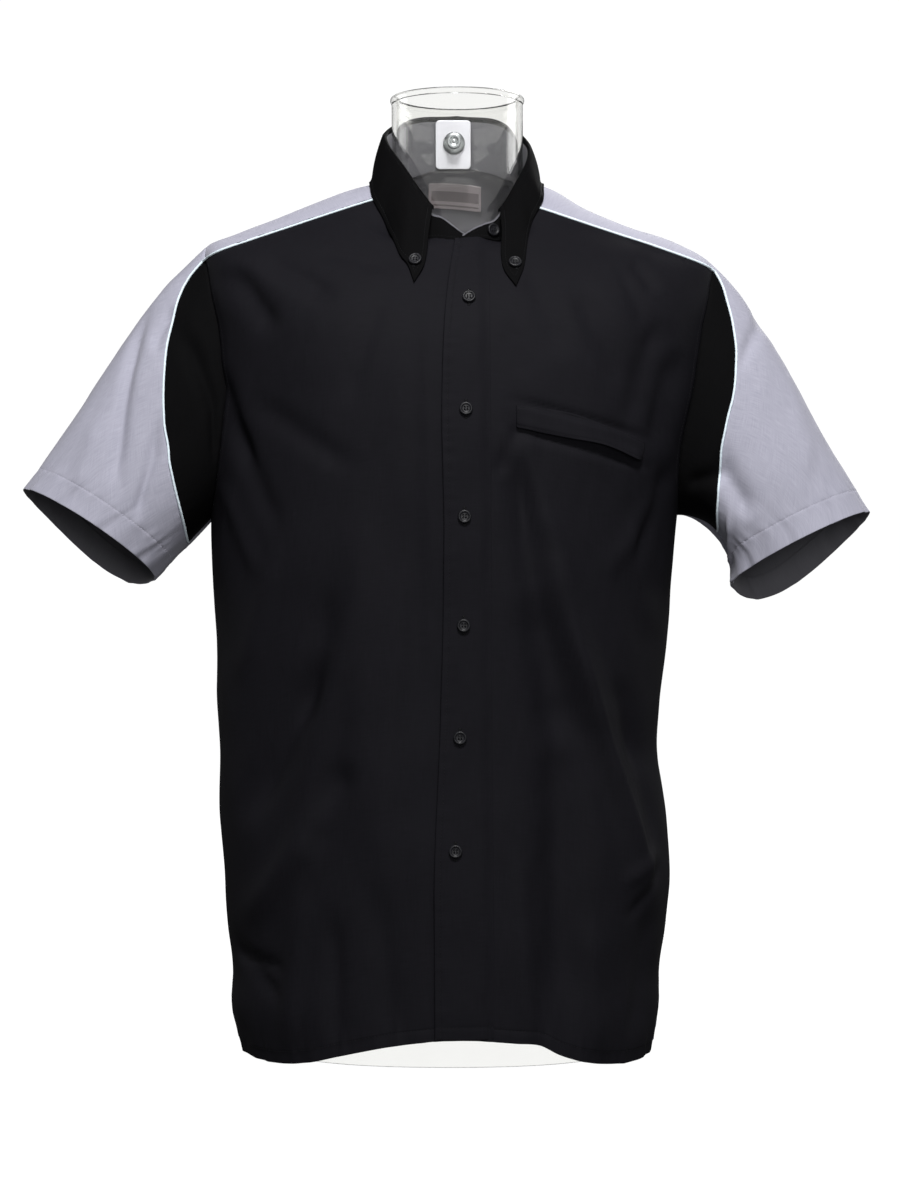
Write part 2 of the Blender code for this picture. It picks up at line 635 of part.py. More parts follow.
def build_front(name, sign, neck_cols):
    """One front: hem, side seam and armhole, yoke seam and neck, and the front edge,
    which runs under the placket."""
    sleeve = SLEEVES[sign]
    cols = neck_cols + SEAM_STOPS

    def edge_angle(level):
        return placket_angle(level, PLACKET_RIGHT, -1.5)

    corner = sign * (SIDE_ANGLE - VENT_SPREAD_FRONT)
    first = edge_angle(HEM_MIDDLE[1])
    hem_angle = np.linspace(float(first), corner, cols + 1)
    low = pairs(hem_angle, hem_level(hem_angle, HEM_FRONT))
    start_level = front_levels(low[0, 1])
    start = pairs(edge_angle(start_level), start_level)
    low[0] = start[0]
    turns = sleeve.front_turns
    armhole = pairs(*sleeve.seam(turns))
    end = np.concatenate([side_seam(sign, low[-1, 1], LOW_ROWS, VENT_SPREAD_FRONT),
                          armhole[1:]])
    low[-1] = end[0]
    neck = np.linspace(start[-1, 0], sign * sleeve.side["yoke_neck_angle"], neck_cols + 1)
    high = np.concatenate([pairs(neck, NECK_LEVEL), yoke_seam(sign, SEAM_STOPS)[1:]])
    grid = patch(low, high, start, end)
    middle = BODY.point(grid[..., 0], grid[..., 1])
    away = BODY.normal(grid[..., 0], grid[..., 1])
    away[LOW_ROWS:, -1] = sleeve.mitre(turns)
    middle = pull_in(middle, ("start", "end", "high"))
    return wall(name, middle, away, CLOTH / 2, CLOTH / 2, BLACK)


def build_back():
    """The back, from the hem to the yoke's back seam."""
    cols = BACK_COLS
    plus, minus = SLEEVES[1], SLEEVES[-1]
    edge = SIDE_ANGLE - VENT_SPREAD_BACK
    hem_angle = np.linspace(edge, 360 - edge, cols + 1)
    low = pairs(hem_angle, hem_level(hem_angle, HEM_BACK))
    sides = []
    for sleeve in (plus, minus):
        seam = side_seam(sleeve.sign, low[0, 1], LOW_ROWS, VENT_SPREAD_BACK)
        both = np.concatenate([seam, pairs(*sleeve.seam(sleeve.back_turns[::-1]))[1:]])
        both[:, 0] %= 360
        sides.append(both)
    high = np.linspace(sides[0][-1], sides[1][-1], cols + 1)
    low[0], low[-1] = sides[0][0], sides[1][0]
    grid = patch(low, high, *sides)
    middle = BODY.point(grid[..., 0], grid[..., 1])
    away = BODY.normal(grid[..., 0], grid[..., 1])
    away[LOW_ROWS:, 0] = plus.mitre(plus.back_turns[::-1])
    away[LOW_ROWS:, -1] = minus.mitre(minus.back_turns[::-1])
    middle = pull_in(middle, ("start", "end", "high"))
    return wall("back", middle, away, CLOTH / 2, CLOTH / 2, GREY)


def build_yoke():
    """The yoke, from one piped front seam over the shoulders and round the back of the
    neck to the other."""
    arm_cols, back_cols, rows = TOP_STOPS, BACK_COLS, SEAM_STOPS
    minus, plus = SLEEVES[-1], SLEEVES[1]
    arms = [minus.top_turns, plus.top_turns]
    minus_arm = pairs(*minus.seam(arms[0]))
    minus_arm[:, 0] += 360
    plus_arm = pairs(*plus.seam(arms[1]))[::-1]
    across = np.linspace(minus_arm[-1], plus_arm[0], back_cols + 1)
    outer = np.concatenate([minus_arm, across[1:], plus_arm[1:]])
    neck_turns = (360 - minus.side["yoke_neck_angle"], 258, 102, plus.side["yoke_neck_angle"])
    cols = arm_cols * 2 + back_cols
    stops = (0, arm_cols, arm_cols + back_cols, cols)
    neck = pairs(np.interp(np.arange(cols + 1), stops, neck_turns), NECK_LEVEL)
    start = yoke_seam(-1, rows)
    start[:, 0] += 360
    grid = patch(neck, outer, start, yoke_seam(1, rows))
    middle = BODY.point(grid[..., 0], grid[..., 1])
    away = BODY.normal(grid[..., 0], grid[..., 1])
    away[-1, : arm_cols + 1] = minus.mitre(arms[0])
    away[-1, cols - arm_cols:] = plus.mitre(arms[1])[::-1]
    middle = pull_in(middle, ("start", "end", "high"))
    return wall("yoke", middle, away, CLOTH / 2, CLOTH / 2, GREY)


# ------------------------------------------------------------------------- the sleeves

def build_sleeve(name, sleeve):
    """The grey sleeve, open along the underarm seam, cut away at the front for the
    panel, with a hem turned up inside at the cuff."""
    rows = 7
    turns = np.concatenate([sleeve.front_turns, sleeve.top_turns[1:], sleeve.back_turns[1:]])
    cols = len(turns) - 1
    begin = np.where(turns <= sleeve.corner, sleeve.piped(np.minimum(turns, sleeve.corner)), 0)
    step = np.linspace(0, 1, rows + 1)[:, None]
    turn = np.broadcast_to(turns, (rows + 1, cols + 1))
    along = begin + (1 - begin) * step
    middle = sleeve.point(turn, along)
    away = sleeve.normal(turn, along)
    top = FRONT_STOPS + 1
    away[0, top:] = sleeve.mitre(turns[top:])
    middle = pull_in(middle, ("start", "end", "low"))
    inward = np.full(middle.shape[:2], CLOTH / 2)
    inward[-2:] = CLOTH * 1.4
    return wall(name, middle, away, CLOTH / 2, inward, GREY)


def build_sleeve_panel(name, sleeve):
    """The black crescent between the armhole and the piped seam."""
    rows = 3
    turns = sleeve.front_turns
    turn = np.broadcast_to(turns, (rows + 1, len(turns)))
    along = sleeve.piped(turns) * np.linspace(0, 1, rows + 1)[:, None]
    middle = sleeve.point(turn, along)
    away = sleeve.normal(turn, along)
    away[0] = sleeve.mitre(turns)
    middle = pull_in(middle, ("start", "end", "low", "high"))
    return wall(name, middle, away, CLOTH / 2, CLOTH / 2, BLACK)


# -------------------------------------------------------------------------- the piping

def build_piping(name, path, away):
    """A corded edge: a round section carried along the seam, resting on its cloth."""
    sides = 6
    tangent = unit(np.gradient(path, axis=0))
    across = unit(np.cross(tangent, away))
    up = np.cross(across, tangent)
    middle = path + up * (CLOTH / 2 + LAYER + PIPING_RADIUS)
    turn = np.linspace(0, 2 * math.pi, sides, endpoint=False)[None, :, None]
    ring = middle[:, None] + PIPING_RADIUS * (np.cos(turn) * across[:, None]
                                              + np.sin(turn) * up[:, None])
    rows = len(path)
    ids = np.arange(rows * sides).reshape(rows, sides)
    faces = [tuple(int(i) for i in ids[0]), tuple(int(i) for i in ids[-1][::-1])]
    for r in range(rows - 1):
        for s in range(sides):
            n = (s + 1) % sides
            faces.append(tuple(int(i) for i in (ids[r, s], ids[r + 1, s], ids[r + 1, n],
                                                ids[r, n])))
    return make(name, ring.reshape(-1, 3), faces, WHITE, 0.6)


def yoke_piping(name, sign):
    seam = yoke_seam(sign, 14)
    path = BODY.point(seam[:, 0], seam[:, 1])
    away = BODY.normal(seam[:, 0], seam[:, 1])
    return build_piping(name, path[2:-1], away[2:-1])


def sleeve_piping(name, sleeve):
    turns = np.linspace(sleeve.corner - 1.5, -86, 24)
    along = sleeve.piped(turns)
    return build_piping(name, sleeve.point(turns, along), sleeve.normal(turns, along))


# -------------------------------------------------------------------------- the collar

def fold_height(angle):
    """Height of the collar's fold line; angle in degrees, any turn."""
    turn = (np.asarray(angle, float) + 180) % 360 - 180
    return curve(turn, *np.array(FOLD_LINE).T)


def stand_ring(angle, out=0.0):
    """Point of the stand's top edge, out millimetres away from the neck."""
    t = np.radians(angle)
    reach = np.where(np.cos(t) > 0, STAND_TOP["front"], STAND_TOP["back"])
    x = NECK_X + (STAND_TOP["half"] + out) * np.sin(t)
    y = -(reach + out) * np.cos(t)
    return np.stack([x, y, fold_height(angle)], -1)


def stand_lap(angle):
    """How far the buttonhole end stands out to clear the button end."""
    return STAND_LAP * smooth(-np.asarray(angle, float), 300, 332)


def build_stand():
    """The band round the neck. Its buttonhole end laps over its button end."""
    cols, rows = 44, 2
    angle = np.linspace(STAND_START, STAND_END, cols + 1)
    lap = stand_lap(angle)
    base = BODY.point(angle, NECK_LEVEL) + np.array([0, 0, STAND_LIFT])
    radial = np.stack([np.sin(np.radians(angle)), -np.cos(np.radians(angle)), angle * 0], -1)
    base = base + radial * lap[:, None]
    top = stand_ring(angle) + radial * lap[:, None]
    top[:, 2] = np.maximum(top[:, 2], base[:, 2] + 6.0)
    step = np.linspace(0, 1, rows + 1)[:, None, None]
    middle = base + (top - base) * step
    away = unit(radial + np.array([0, 0, 0.12]))
    away = np.broadcast_to(away, middle.shape)
    return wall("collar_stand", middle, away, STAND_WALL / 2, STAND_WALL / 2, BLACK)


def fall_grid(cols, rows):
    """Points of the fall, from the fold line to the outer edge."""
    edge = []
    for _, x, y, z in FALL_EDGE:
        edge.append(on_front(x, z, LEAF_LIFT)[0] if y is None else np.array([x, y, z]))
    edge = np.array(edge)
    edge_angle = -np.array([row[0] for row in FALL_EDGE], float)
    stops = np.interp(np.linspace(0, 1, cols + 1), np.linspace(0, 1, len(edge)), edge_angle)
    outer = np.stack([curve(stops, edge_angle, edge[:, k]) for k in range(3)], -1)
    clear = STAND_WALL / 2 + FALL_WALL / 2 + LAYER + 0.2
    fold = stand_ring(-stops, out=clear + stand_lap(-stops))
    fold[:, 2] += 0.8
    step = np.linspace(0, 1, rows + 1)[:, None, None]
    radial = np.stack([np.sin(np.radians(-stops)), -np.cos(np.radians(-stops)), stops * 0], -1)
    bulge = 2.2 * np.sin(np.pi * step) * (1 - 0.35 * step)
    grid = fold + (outer - fold) * step + radial * bulge
    lift = np.linspace(0, LEAF_LIFT, rows + 1)[:, None] * np.ones(cols + 1)
    lift[0] = -99
    return keep_off(grid, lift.reshape(-1))


def build_fall():
    """The collar's fall, one piece from point to point. Returns its middle surface."""
    grid = fall_grid(46, 5)
    d_row = np.gradient(grid, axis=0)
    d_col = np.gradient(grid, axis=1)
    away = unit(np.cross(d_row, d_col))
    centre = np.array([NECK_X, 0, 0])
    if np.mean(np.sum(away * (grid - centre) * (1, 1, 0), -1)) < 0:
        away = -away
    wall("collar_fall", grid, away, FALL_WALL / 2, FALL_WALL / 2, BLACK)
    return grid, away


# ------------------------------------------------------- what lies on the left front

def build_placket():
    """The folded strip down the left front's edge, over both fronts."""
    cols = 3
    levels = front_levels(PLACKET_HEM)
    levels[-1] = NECK_LEVEL - 4.0
    edges = [pairs(placket_angle(levels, table), levels)
             for table in (PLACKET_LEFT, PLACKET_RIGHT)]
    across = np.linspace(0, 1, cols + 1)[None, :, None]
    grid = edges[0][:, None] * (1 - across) + edges[1][:, None] * across
    middle = BODY.point(grid[..., 0], grid[..., 1])
    away = BODY.normal(grid[..., 0], grid[..., 1])
    away[-1] = unit(away[-1] * (1, 1, 0.3))
    middle = middle + away * (PLACKET_LIFT + PLACKET_WALL / 2)
    return wall("placket", middle, away, PLACKET_WALL / 2, PLACKET_WALL / 2, BLACK)


def build_pocket():
    """The welt of the chest pocket."""
    cols = 10
    t = np.linspace(0, 1, cols + 1)
    rows = []
    for table in (POCKET_BOTTOM, POCKET_TOP):
        x, z = np.array(table).T
        stops = np.linspace(0, 1, len(x))
        rows.append(BODY.find(curve(t, stops, x), curve(t, stops, z)))
    low, high = rows
    step = np.linspace(0, 1, 3)[:, None, None]
    grid = low + (high - low) * step
    middle = BODY.point(grid[..., 0], grid[..., 1])
    away = BODY.normal(grid[..., 0], grid[..., 1])
    gape = np.linspace(0, 1, cols + 1) ** 3 * 1.6
    height = CLOTH / 2 + LAYER + 1.0 + np.array([0, 0.4, 1.0])[:, None] * gape
    middle = middle + away * height[..., None]
    return wall("pocket_welt", middle, away, 0.5, 0.5, BLACK)


def build_label():
    """A plain label inside the back of the neck, on the yoke."""
    x = np.linspace(*LABEL["x"], 5)
    z = np.linspace(*LABEL["z"], 4)
    level = np.interp(z, RING["z_back"], RING["level"])[:, None]
    angle = 180 - BODY.angle_at(x[None] * np.ones((4, 1)), level * np.ones((1, 5)))
    middle = BODY.point(angle, level)
    away = BODY.normal(angle, level * np.ones((1, 5)))
    middle = middle - away * (CLOTH / 2 + 0.9 + LABEL["wall"] / 2)
    return wall("neck_label", middle, away, LABEL["wall"] / 2, LABEL["wall"] / 2, WHITE)


# ------------------------------------------------------------------------- the buttons

def build_button(name, seat, normal):
    """A four-hole button as a turned disc with a raised rim and a dished middle, its
    underside on seat."""
    sides = 16
    half = BUTTON_WIDE / 2
    profile = ((0.0, 0.0), (half * 0.8, 0.0), (half, BUTTON_THICK * 0.5),
               (half * 0.85, BUTTON_THICK), (half * 0.62, BUTTON_THICK * 0.78),
               (0.0, BUTTON_THICK * 0.7))
    up = unit(np.asarray(normal))
    side = unit(np.cross(up, np.array([0.0, 0.0, 1.0])))
    over = np.cross(side, up)
    turn = np.linspace(0, 2 * math.pi, sides, endpoint=False)
    vertices = [seat + up * profile[0][1]]
    for radius, height in profile[1:-1]:
        ring = (seat + up * height + radius * (np.cos(turn)[:, None] * side
                                               + np.sin(turn)[:, None] * over))
        vertices.extend(ring)
    vertices.append(seat + up * profile[-1][1])
    faces = []
    for s in range(sides):
        n = (s + 1) % sides
        faces.append((0, 1 + n, 1 + s))
        for r in range(len(profile) - 3):
            a = 1 + r * sides
            faces.append((a + s, a + n, a + n + sides, a + s + sides))
        top = 1 + (len(profile) - 3) * sides
        faces.append((top + s, top + n, len(vertices) - 1))
    return make(name, vertices, faces, BUTTON_GREY, 0.35)


def build_buttons(fall):
    lift = PLACKET_LIFT + PLACKET_WALL + LAYER
    for i, (x, z) in enumerate(PLACKET_BUTTONS, 1):
        seat, normal, _ = on_front(x, z, lift)
        build_button(f"placket_button_{i}", seat, normal)
    grid, away = fall
    for name, (x, z) in zip(("right", "left"), LEAF_BUTTONS):
        cell = np.argmin(((grid[..., 0] - x) ** 2 + (grid[..., 2] - z) ** 2))
        normal = away.reshape(-1, 3)[cell]
        seat = grid.reshape(-1, 3)[cell]
        # slide along the leaf's own plane from the nearest grid point to the place
        off = np.array([x - seat[0], 0.0, z - seat[2]])
        off[1] = -(off[0] * normal[0] + off[2] * normal[2]) / normal[1]
        build_button(f"collar_button_{name}",
                     seat + off + normal * (FALL_WALL / 2 + LAYER + 0.25), normal)
    x, z = STAND_BUTTON
    angle = math.degrees(math.asin((x - NECK_X) / STAND_TOP["half"]))
    out = STAND_LAP + STAND_WALL / 2 + LAYER
    radial = np.array([math.sin(math.radians(angle)), -math.cos(math.radians(angle)), 0.12])
    foot = BODY.point(angle, NECK_LEVEL)
    top = stand_ring(np.array(float(angle)))
    t = (z - foot[2]) / (top[2] - foot[2])
    seat = foot + (top - foot) * t + unit(radial) * (out + 0.5)
    build_button("stand_button", seat, radial)


# ---------------------------------------------------------------------------- the form

def form_rings(cols):
    """Rings of the form's outside, from its foot to the rim of its neck."""
    body = Bust(inset=FORM_GAP)
    angle = np.linspace(0, 360, cols, endpoint=False)
    low = (0, 50, 130, 210, 290, 370, 440)
    high = (510, 575, 630, 675, 705, 727, 750, 785, 820, 855, 880)
    rings = [body.plain(angle, np.full(cols, float(v))) for v in low + high]
    off_ridge = smooth(np.abs(np.cos(np.radians(angle))), 0.12, 0.32)
    clear = FORM_CLEAR_RIDGE + (FORM_CLEAR - FORM_CLEAR_RIDGE) * off_ridge
    upper = keep_off(np.array(rings[len(low):]), np.tile(clear, len(high)), inside=True)
    rings = rings[:len(low)] + list(upper)
    t = np.radians(angle)
    for radius, z_front, z_side, z_back in NECK_RINGS:
        z_end = np.where(np.cos(t) > 0, z_front, z_back)
        z = z_side + (z_end - z_side) * np.cos(t) ** 2
        rings.append(np.stack([NECK_X + radius * np.sin(t), -radius * np.cos(t), z], -1))
    return np.array(rings)


def build_form():
    """The hollow form: one wall from the foot to the neck's rim, open at both ends."""
    grid = form_rings(34)
    d_row = np.gradient(grid, axis=0)
    ahead = np.roll(grid, -1, axis=1) - np.roll(grid, 1, axis=1)
    away = unit(np.cross(ahead, d_row))
    away[0] = unit(away[0] * (1, 1, 0))
    away[-4:] = unit(away[-4:] * (1, 1, 0))
    if np.mean(np.sum(away[:5] * grid[:5] * (1, 1, 0), -1)) < 0:
        away = -away
    return wall("dress_form", grid, away, 0.0, FORM_WALL, CLEAR, 0.1, around=True)


def build_plate():
    """Flat metal plate on the inside of the neck's back wall, with its knob."""
    x0, x1 = PLATE["x"]
    z0, z1 = PLATE["z"]
    y0, y1 = PLATE["y"]
    corners = [(x, y, z) for x in (x0, x1) for y in (y0, y1) for z in (z0, z1)]
    faces = [(0, 1, 3, 2), (4, 6, 7, 5), (0, 4, 5, 1), (2, 3, 7, 6), (0, 2, 6, 4), (1, 5, 7, 3)]
    make("neck_plate", corners, faces, METAL, 0.35, 1.0)


def build_knob():
    """Turned knob with a flange, its axis along Y."""
    sides = 20
    face, foot = KNOB["face"], PLATE["y"][0] - LAYER
    profile = ((KNOB["radius"] * 0.86, face), (KNOB["radius"], face + 1.2),
               (KNOB["radius"], face + 7.0), (KNOB["radius"] * 0.8, face + 8.0),
               (KNOB["radius"] * 0.8, foot - 2.6), (KNOB["flange"], foot - 2.0),
               (KNOB["flange"], foot))
    turn = np.linspace(0, 2 * math.pi, sides, endpoint=False)
    vertices = [(KNOB["x"], face, KNOB["z"])]
    for radius, y in profile:
        vertices.extend(np.stack([KNOB["x"] + radius * np.cos(turn), turn * 0 + y,
                                  KNOB["z"] + radius * np.sin(turn)], -1))
    vertices.append((KNOB["x"], foot, KNOB["z"]))
    faces = []
    for s in range(sides):
        n = (s + 1) % sides
        faces.append((0, 1 + s, 1 + n))
        for r in range(len(profile) - 1):
            a = 1 + r * sides
            faces.append((a + s, a + s + sides, a + n + sides, a + n))
        last = 1 + (len(profile) - 1) * sides
        faces.append((last + n, last + s, len(vertices) - 1))
    make("neck_knob", vertices, faces, METAL, 0.3, 1.0)


def main():
    for thing in list(bpy.data.objects):
        bpy.data.objects.remove(thing)
    build_front("right_front", -1, 7)
    build_front("left_front", 1, 4)
    build_back()
    build_yoke()
    for side, sign in (("right", -1), ("left", 1)):
        build_sleeve(f"{side}_sleeve", SLEEVES[sign])
        build_sleeve_panel(f"{side}_sleeve_panel", SLEEVES[sign])
        yoke_piping(f"{side}_yoke_piping", sign)
        sleeve_piping(f"{side}_sleeve_piping", SLEEVES[sign])
    build_stand()
    fall = build_fall()
    build_placket()
    build_pocket()
    build_label()
    build_buttons(fall)
    build_form()
    build_plate()
    build_knob()


main()
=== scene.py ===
"""Short-sleeved racing shirt, buttoned, on a clear limbless dress form.

The shirt's body is one smooth surface of angle and level, worked out from a table of
rings; each sleeve is a second surface that leaves it at an armhole. Every sewn piece is a
fine grid on one of these surfaces, with folds, hems, seams and stitches, and stands for
the solid of the same name. Sizes are in millimetres and become metres when a mesh is
made. X is to the viewer's right, Y goes back, Z is up; left and right are the wearer's.
"""

import logging
import math
from dataclasses import dataclass, field
from enum import Enum
from typing import Any, Optional, Sequence

import bpy
import numpy as np
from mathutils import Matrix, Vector


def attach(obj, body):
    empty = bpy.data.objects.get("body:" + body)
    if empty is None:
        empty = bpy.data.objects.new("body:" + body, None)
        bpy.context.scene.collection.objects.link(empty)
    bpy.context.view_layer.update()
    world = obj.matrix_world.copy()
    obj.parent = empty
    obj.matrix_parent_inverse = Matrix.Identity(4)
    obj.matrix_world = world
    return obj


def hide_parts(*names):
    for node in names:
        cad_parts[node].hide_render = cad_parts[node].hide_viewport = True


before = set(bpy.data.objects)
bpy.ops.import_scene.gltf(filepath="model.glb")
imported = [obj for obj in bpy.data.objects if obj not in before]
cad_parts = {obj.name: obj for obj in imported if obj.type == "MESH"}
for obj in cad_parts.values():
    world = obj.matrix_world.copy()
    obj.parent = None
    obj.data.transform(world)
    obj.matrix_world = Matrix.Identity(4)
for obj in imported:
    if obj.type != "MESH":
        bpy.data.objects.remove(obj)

Array = np.ndarray
Colour = tuple[float, float, float]
Table = Sequence[Sequence[float]]

MM = 0.001
CENTRE = np.array([-3.0, -2.35, 0.0])  # what goes to the origin, in the tables' terms
log = logging.getLogger("shirt")


class Edge(Enum):
    """The edges of a grid of points, whose columns run across and whose rows run up."""

    START = "start"
    END = "end"
    LOW = "low"
    HIGH = "high"


class Face(Enum):
    """The side of the shirt that a fold is seen from."""

    FRONT = 1
    BACK = -1


BOTH_ENDS = (Edge.START, Edge.END)

# ---------------------------------------------------------------- the tables

# One row is one ring round the body: level, the wearer's right and left reach, front and
# back reach, the heights at those four places, the ring's middle, its squareness.
RING_COLUMNS = ("level", "minus_x", "plus_x", "front", "back",
                "z_minus", "z_plus", "z_front", "z_back", "centre", "power")
LOW_POWER = 2.25
LOW_RINGS = (  # flat rings round the axis, of which the first five columns say all
    (0, 187.0, 181.0, 135.0, 134.0), (20, 191.5, 185.5, 135.5, 134.0),
    (45, 195.5, 188.0, 136.0, 134.0), (72, 194.0, 188.0, 136.0, 133.0),
    (113, 198.0, 193.5, 136.0, 132.5), (153, 201.0, 196.3, 135.5, 131.5),
    (193, 204.4, 194.5, 135.0, 131.0), (234, 207.0, 190.0, 135.0, 131.0),
    (274, 207.0, 185.0, 135.5, 131.5), (314, 209.0, 188.0, 136.0, 133.0),
    (368, 209.0, 193.6, 137.5, 135.0), (422, 212.4, 198.0, 139.0, 137.5),
    (481, 213.0, 203.4, 140.0, 139.0),
)
HIGH_RINGS = (
    (535, 213.0, 214.0, 140.5, 139.5, 533, 531, 525, 535, 0.0, 2.25),
    (595, 213.5, 228.0, 139.5, 137.0, 593, 590, 568, 598, 0.0, 2.25),
    (650, 217.0, 236.0, 135.0, 131.0, 648, 642, 608, 652, 0.0, 2.25),
    (695, 223.0, 239.0, 127.5, 123.0, 693, 684, 638, 690, 0.0, 2.22),
    (722, 220.5, 233.0, 120.0, 115.5, 719, 705.5, 656, 713, 0.5, 2.2),
    (750, 193.0, 200.0, 111.0, 106.5, 731.5, 724.5, 673, 735, 1.5, 2.15),
    (785, 157.5, 161.0, 101.5, 96.5, 745, 738, 688, 756, 3.0, 2.1),
    (820, 124.2, 122.0, 91.5, 84.0, 758.8, 754.5, 701, 775, 4.5, 2.05),
    (858, 88.0, 94.0, 81.5, 72.0, 772.5, 771, 711.5, 791, 6.0, 2.0),
    (885, 61.5, 74.5, 72.5, 62.0, 779, 779, 718.8, 801, 6.5, 2.0),
)
RINGS = [(*row, *(row[0],) * 4, 0.0, LOW_POWER) for row in LOW_RINGS] + list(HIGH_RINGS)
RING = dict(zip(RING_COLUMNS, np.array(RINGS, float).T))
NECK_LEVEL = 885.0
UNDERARM_LEVEL = 481.0
SHOULDER_LEVEL = 727.0
SIDE_ANGLE = 92.0

HEM_MIDDLE = (4, 28.6)
HEM_FRONT = ((-192, 8), (-183, 5.0), (-164, 2.6), (-130, 4.6), (-90, 14.2), (-53, 22.3),
             (-11, 27.8), HEM_MIDDLE, (53, 25.6), (78, 22.5), (93, 14.6), (111, 8.0),
             (138, 2.4), (167, 1.6), (178, 4), (190, 8))
HEM_BACK = ((-194, 9), (-164, 4.5), (-120, 6), (-60, 14), (0, 18), (60, 14), (120, 6),
            (164, 4.5), (190, 9))
VENT_TOP = 72.0
VENT_SPREAD_FRONT = 14.0
VENT_SPREAD_BACK = 2.0

# Sign, how wide the armhole opens in front and behind, the height of the yoke's corner,
# the angle where the yoke's seam meets the neck, the cuff's outer and inner ends, its
# rise in front and drop behind, and how far the sleeve's top and underside bow out.
SIDE_COLUMNS = ("sign", "armhole_front", "armhole_back", "yoke_corner_z",
                "yoke_neck_angle", "cuff_outer_x", "cuff_outer_z", "cuff_inner_x",
                "cuff_inner_z", "cuff_rise", "cuff_drop", "top_swell", "under_swell")
SIDES = {
    -1: (-1, 24.0, 27.0, 706.6, 60.0, 381.0, 500.5, 265.0, 424.5, 0.19, 0.31, 64.0, 0.0),
    +1: (+1, 24.0, 27.0, 697.5, 54.0, 375.0, 481.0, 252.0, 419.0, 0.16, 0.45, 60.0, 80.0),
}
BACK_CORNER = 128.0
CUFF_DEPTH = 53.5
CUFF_FORWARD = -12.0
CUFF_AHEAD = np.array([0.0, -0.957, 0.0])
CUFF_SAG = 0.5
ARMHOLE_SQUARENESS = 2.4
PANEL_TIP = 0.013
# Turn round the armhole and share along the sleeve of places on the piped seam.
PIPED = {
    -1: ((-90, 0.456), (-51, 0.466), (-33.5, 0.467), (-19.5, 0.467), (-7.5, 0.464),
         (0.5, 0.449), (9.5, 0.42), (19, 0.377), (26, 0.335), (33, 0.29), (41, 0.229),
         (46.5, 0.191), (51.5, 0.15), (54.8, 0.112), (56.8, 0.066)),
    +1: ((-90, 0.472), (-47, 0.474), (-29.5, 0.436), (-21, 0.396), (-13.5, 0.361),
         (-7.5, 0.333), (-1, 0.317), (4.5, 0.311), (11.5, 0.303), (18.5, 0.283),
         (24.5, 0.256), (30.5, 0.225), (36, 0.189), (42.5, 0.149), (48.5, 0.107),
         (55, 0.064)),
}
# Creases on a sleeve's front: x and z of both ends, width, height.
CREASES = {
    -1: ((-274, 648, -293, 512, 6.5, -4.0), (-256, 556, -275, 482, 5, -3.0),
         (-246, 660, -262, 628, 6, -2.2), (-237, 634, -206, 528, 8, -3.2),
         (-310, 560, -325, 500, 11, 1.6)),
    +1: ((276, 652, 256, 612, 6, -2.4), (236, 528, 262, 482, 9, -4.2),
         (246, 478, 249, 438, 6, 2.4), (211, 507, 242, 513, 6, -3.0),
         (300, 600, 315, 520, 12, 1.0)),
}
# Creases behind and on top of it: turn and along of both ends, width, height.
FAR_CREASES = {
    -1: ((150, 0.15, 168, 0.85, 11, -3.0), (196, 0.1, 186, 0.8, 10, -2.6),
         (222, 0.15, 214, 0.75, 9, 2.0), (118, 0.3, 126, 0.9, 10, -1.8)),
    +1: ((150, 0.15, 166, 0.85, 11, -3.0), (198, 0.1, 188, 0.8, 10, -2.6),
         (224, 0.15, 216, 0.75, 9, 2.0), (116, 0.3, 124, 0.9, 10, -1.8)),
}

# How much smaller than the shirt's rings the form is, by level.
FORM_GAP = {
    "minus_x": ((0, 200, 330, 470, 600, 690, 722, 750, 885),
                (38, 52, 46, 30, 22, 18, 10, 3, 0)),
    "plus_x": ((0, 200, 330, 470, 600, 690, 722, 750, 885),
               (34, 42, 38, 24, 24, 20, 11, 3, 0)),
    "front": ((0, 200, 330, 470, 600, 690, 750, 885), (34, 44, 32, 12, 5, 3, 1.5, 1.5)),
    "back": ((0, 200, 330, 470, 600, 690, 750, 800, 885), (30, 42, 30, 12, 5, 3, 2, 3.2, 3.0)),
    "z_minus": ((0, 600, 722, 885), (0, 0, 2.6, 1.7)),
    "z_plus": ((0, 600, 722, 885), (0, 0, 2.6, 1.7)),
    "z_front": ((0, 600, 722, 885), (0, 0, 0.8, 1.2)),
    "z_back": ((0, 600, 722, 800, 885), (0, 0, 0.8, 3.0, 2.6)),
}
NECK_X = 6.5

FOLD_LINE = ((-180, 848.6), (-142, 844.5), (-107, 829.5), (-75, 812), (-46, 785.6),
             (-31, 765), (-19, 748.6), (-8, 738), (10, 730), (22, 738), (33, 747),
             (55, 775.2), (80, 800), (107, 819.5), (142, 842.5), (180, 848.6))
# Heights of the band's top at its two ends, which cross at the opening.
BAND_UNDER = ((-24, 745.0), (-20, 742.0), (-12, 739.0), (-4.3, 732.5), (3.4, 726.0),
              (27, 716.0))
BAND_OVER = ((-2, 717.0), (2.4, 721.0), (10.2, 727.6), (20.4, 733.5), (30, 738.0),
             (38, 749.0))
FALL_EDGE = (
    (-19, -31.0, None, 677.3), (-26, -36.4, None, 693.3), (-34, -43.4, None, 703.3),
    (-46, -56.0, None, 733.0), (-59, -66.7, None, 755.2), (-78, -70.5, -18.0, 768.0),
    (-107, -68.5, 27.0, 781.0), (-142, -42.0, 66.0, 792.0), (-180, 6.5, 80.0, 797.0),
    (-218, 54.0, 66.0, 792.0), (-253, 79.5, 27.0, 780.0), (-282, 81.5, -18.0, 766.0),
    (-299, 81.0, None, 753.7), (-308, 71.5, None, 735.0), (-316, 67.4, None, 716.5),
    (-322, 64.1, None, 692.9), (-327, 56.9, None, 673.9),
)
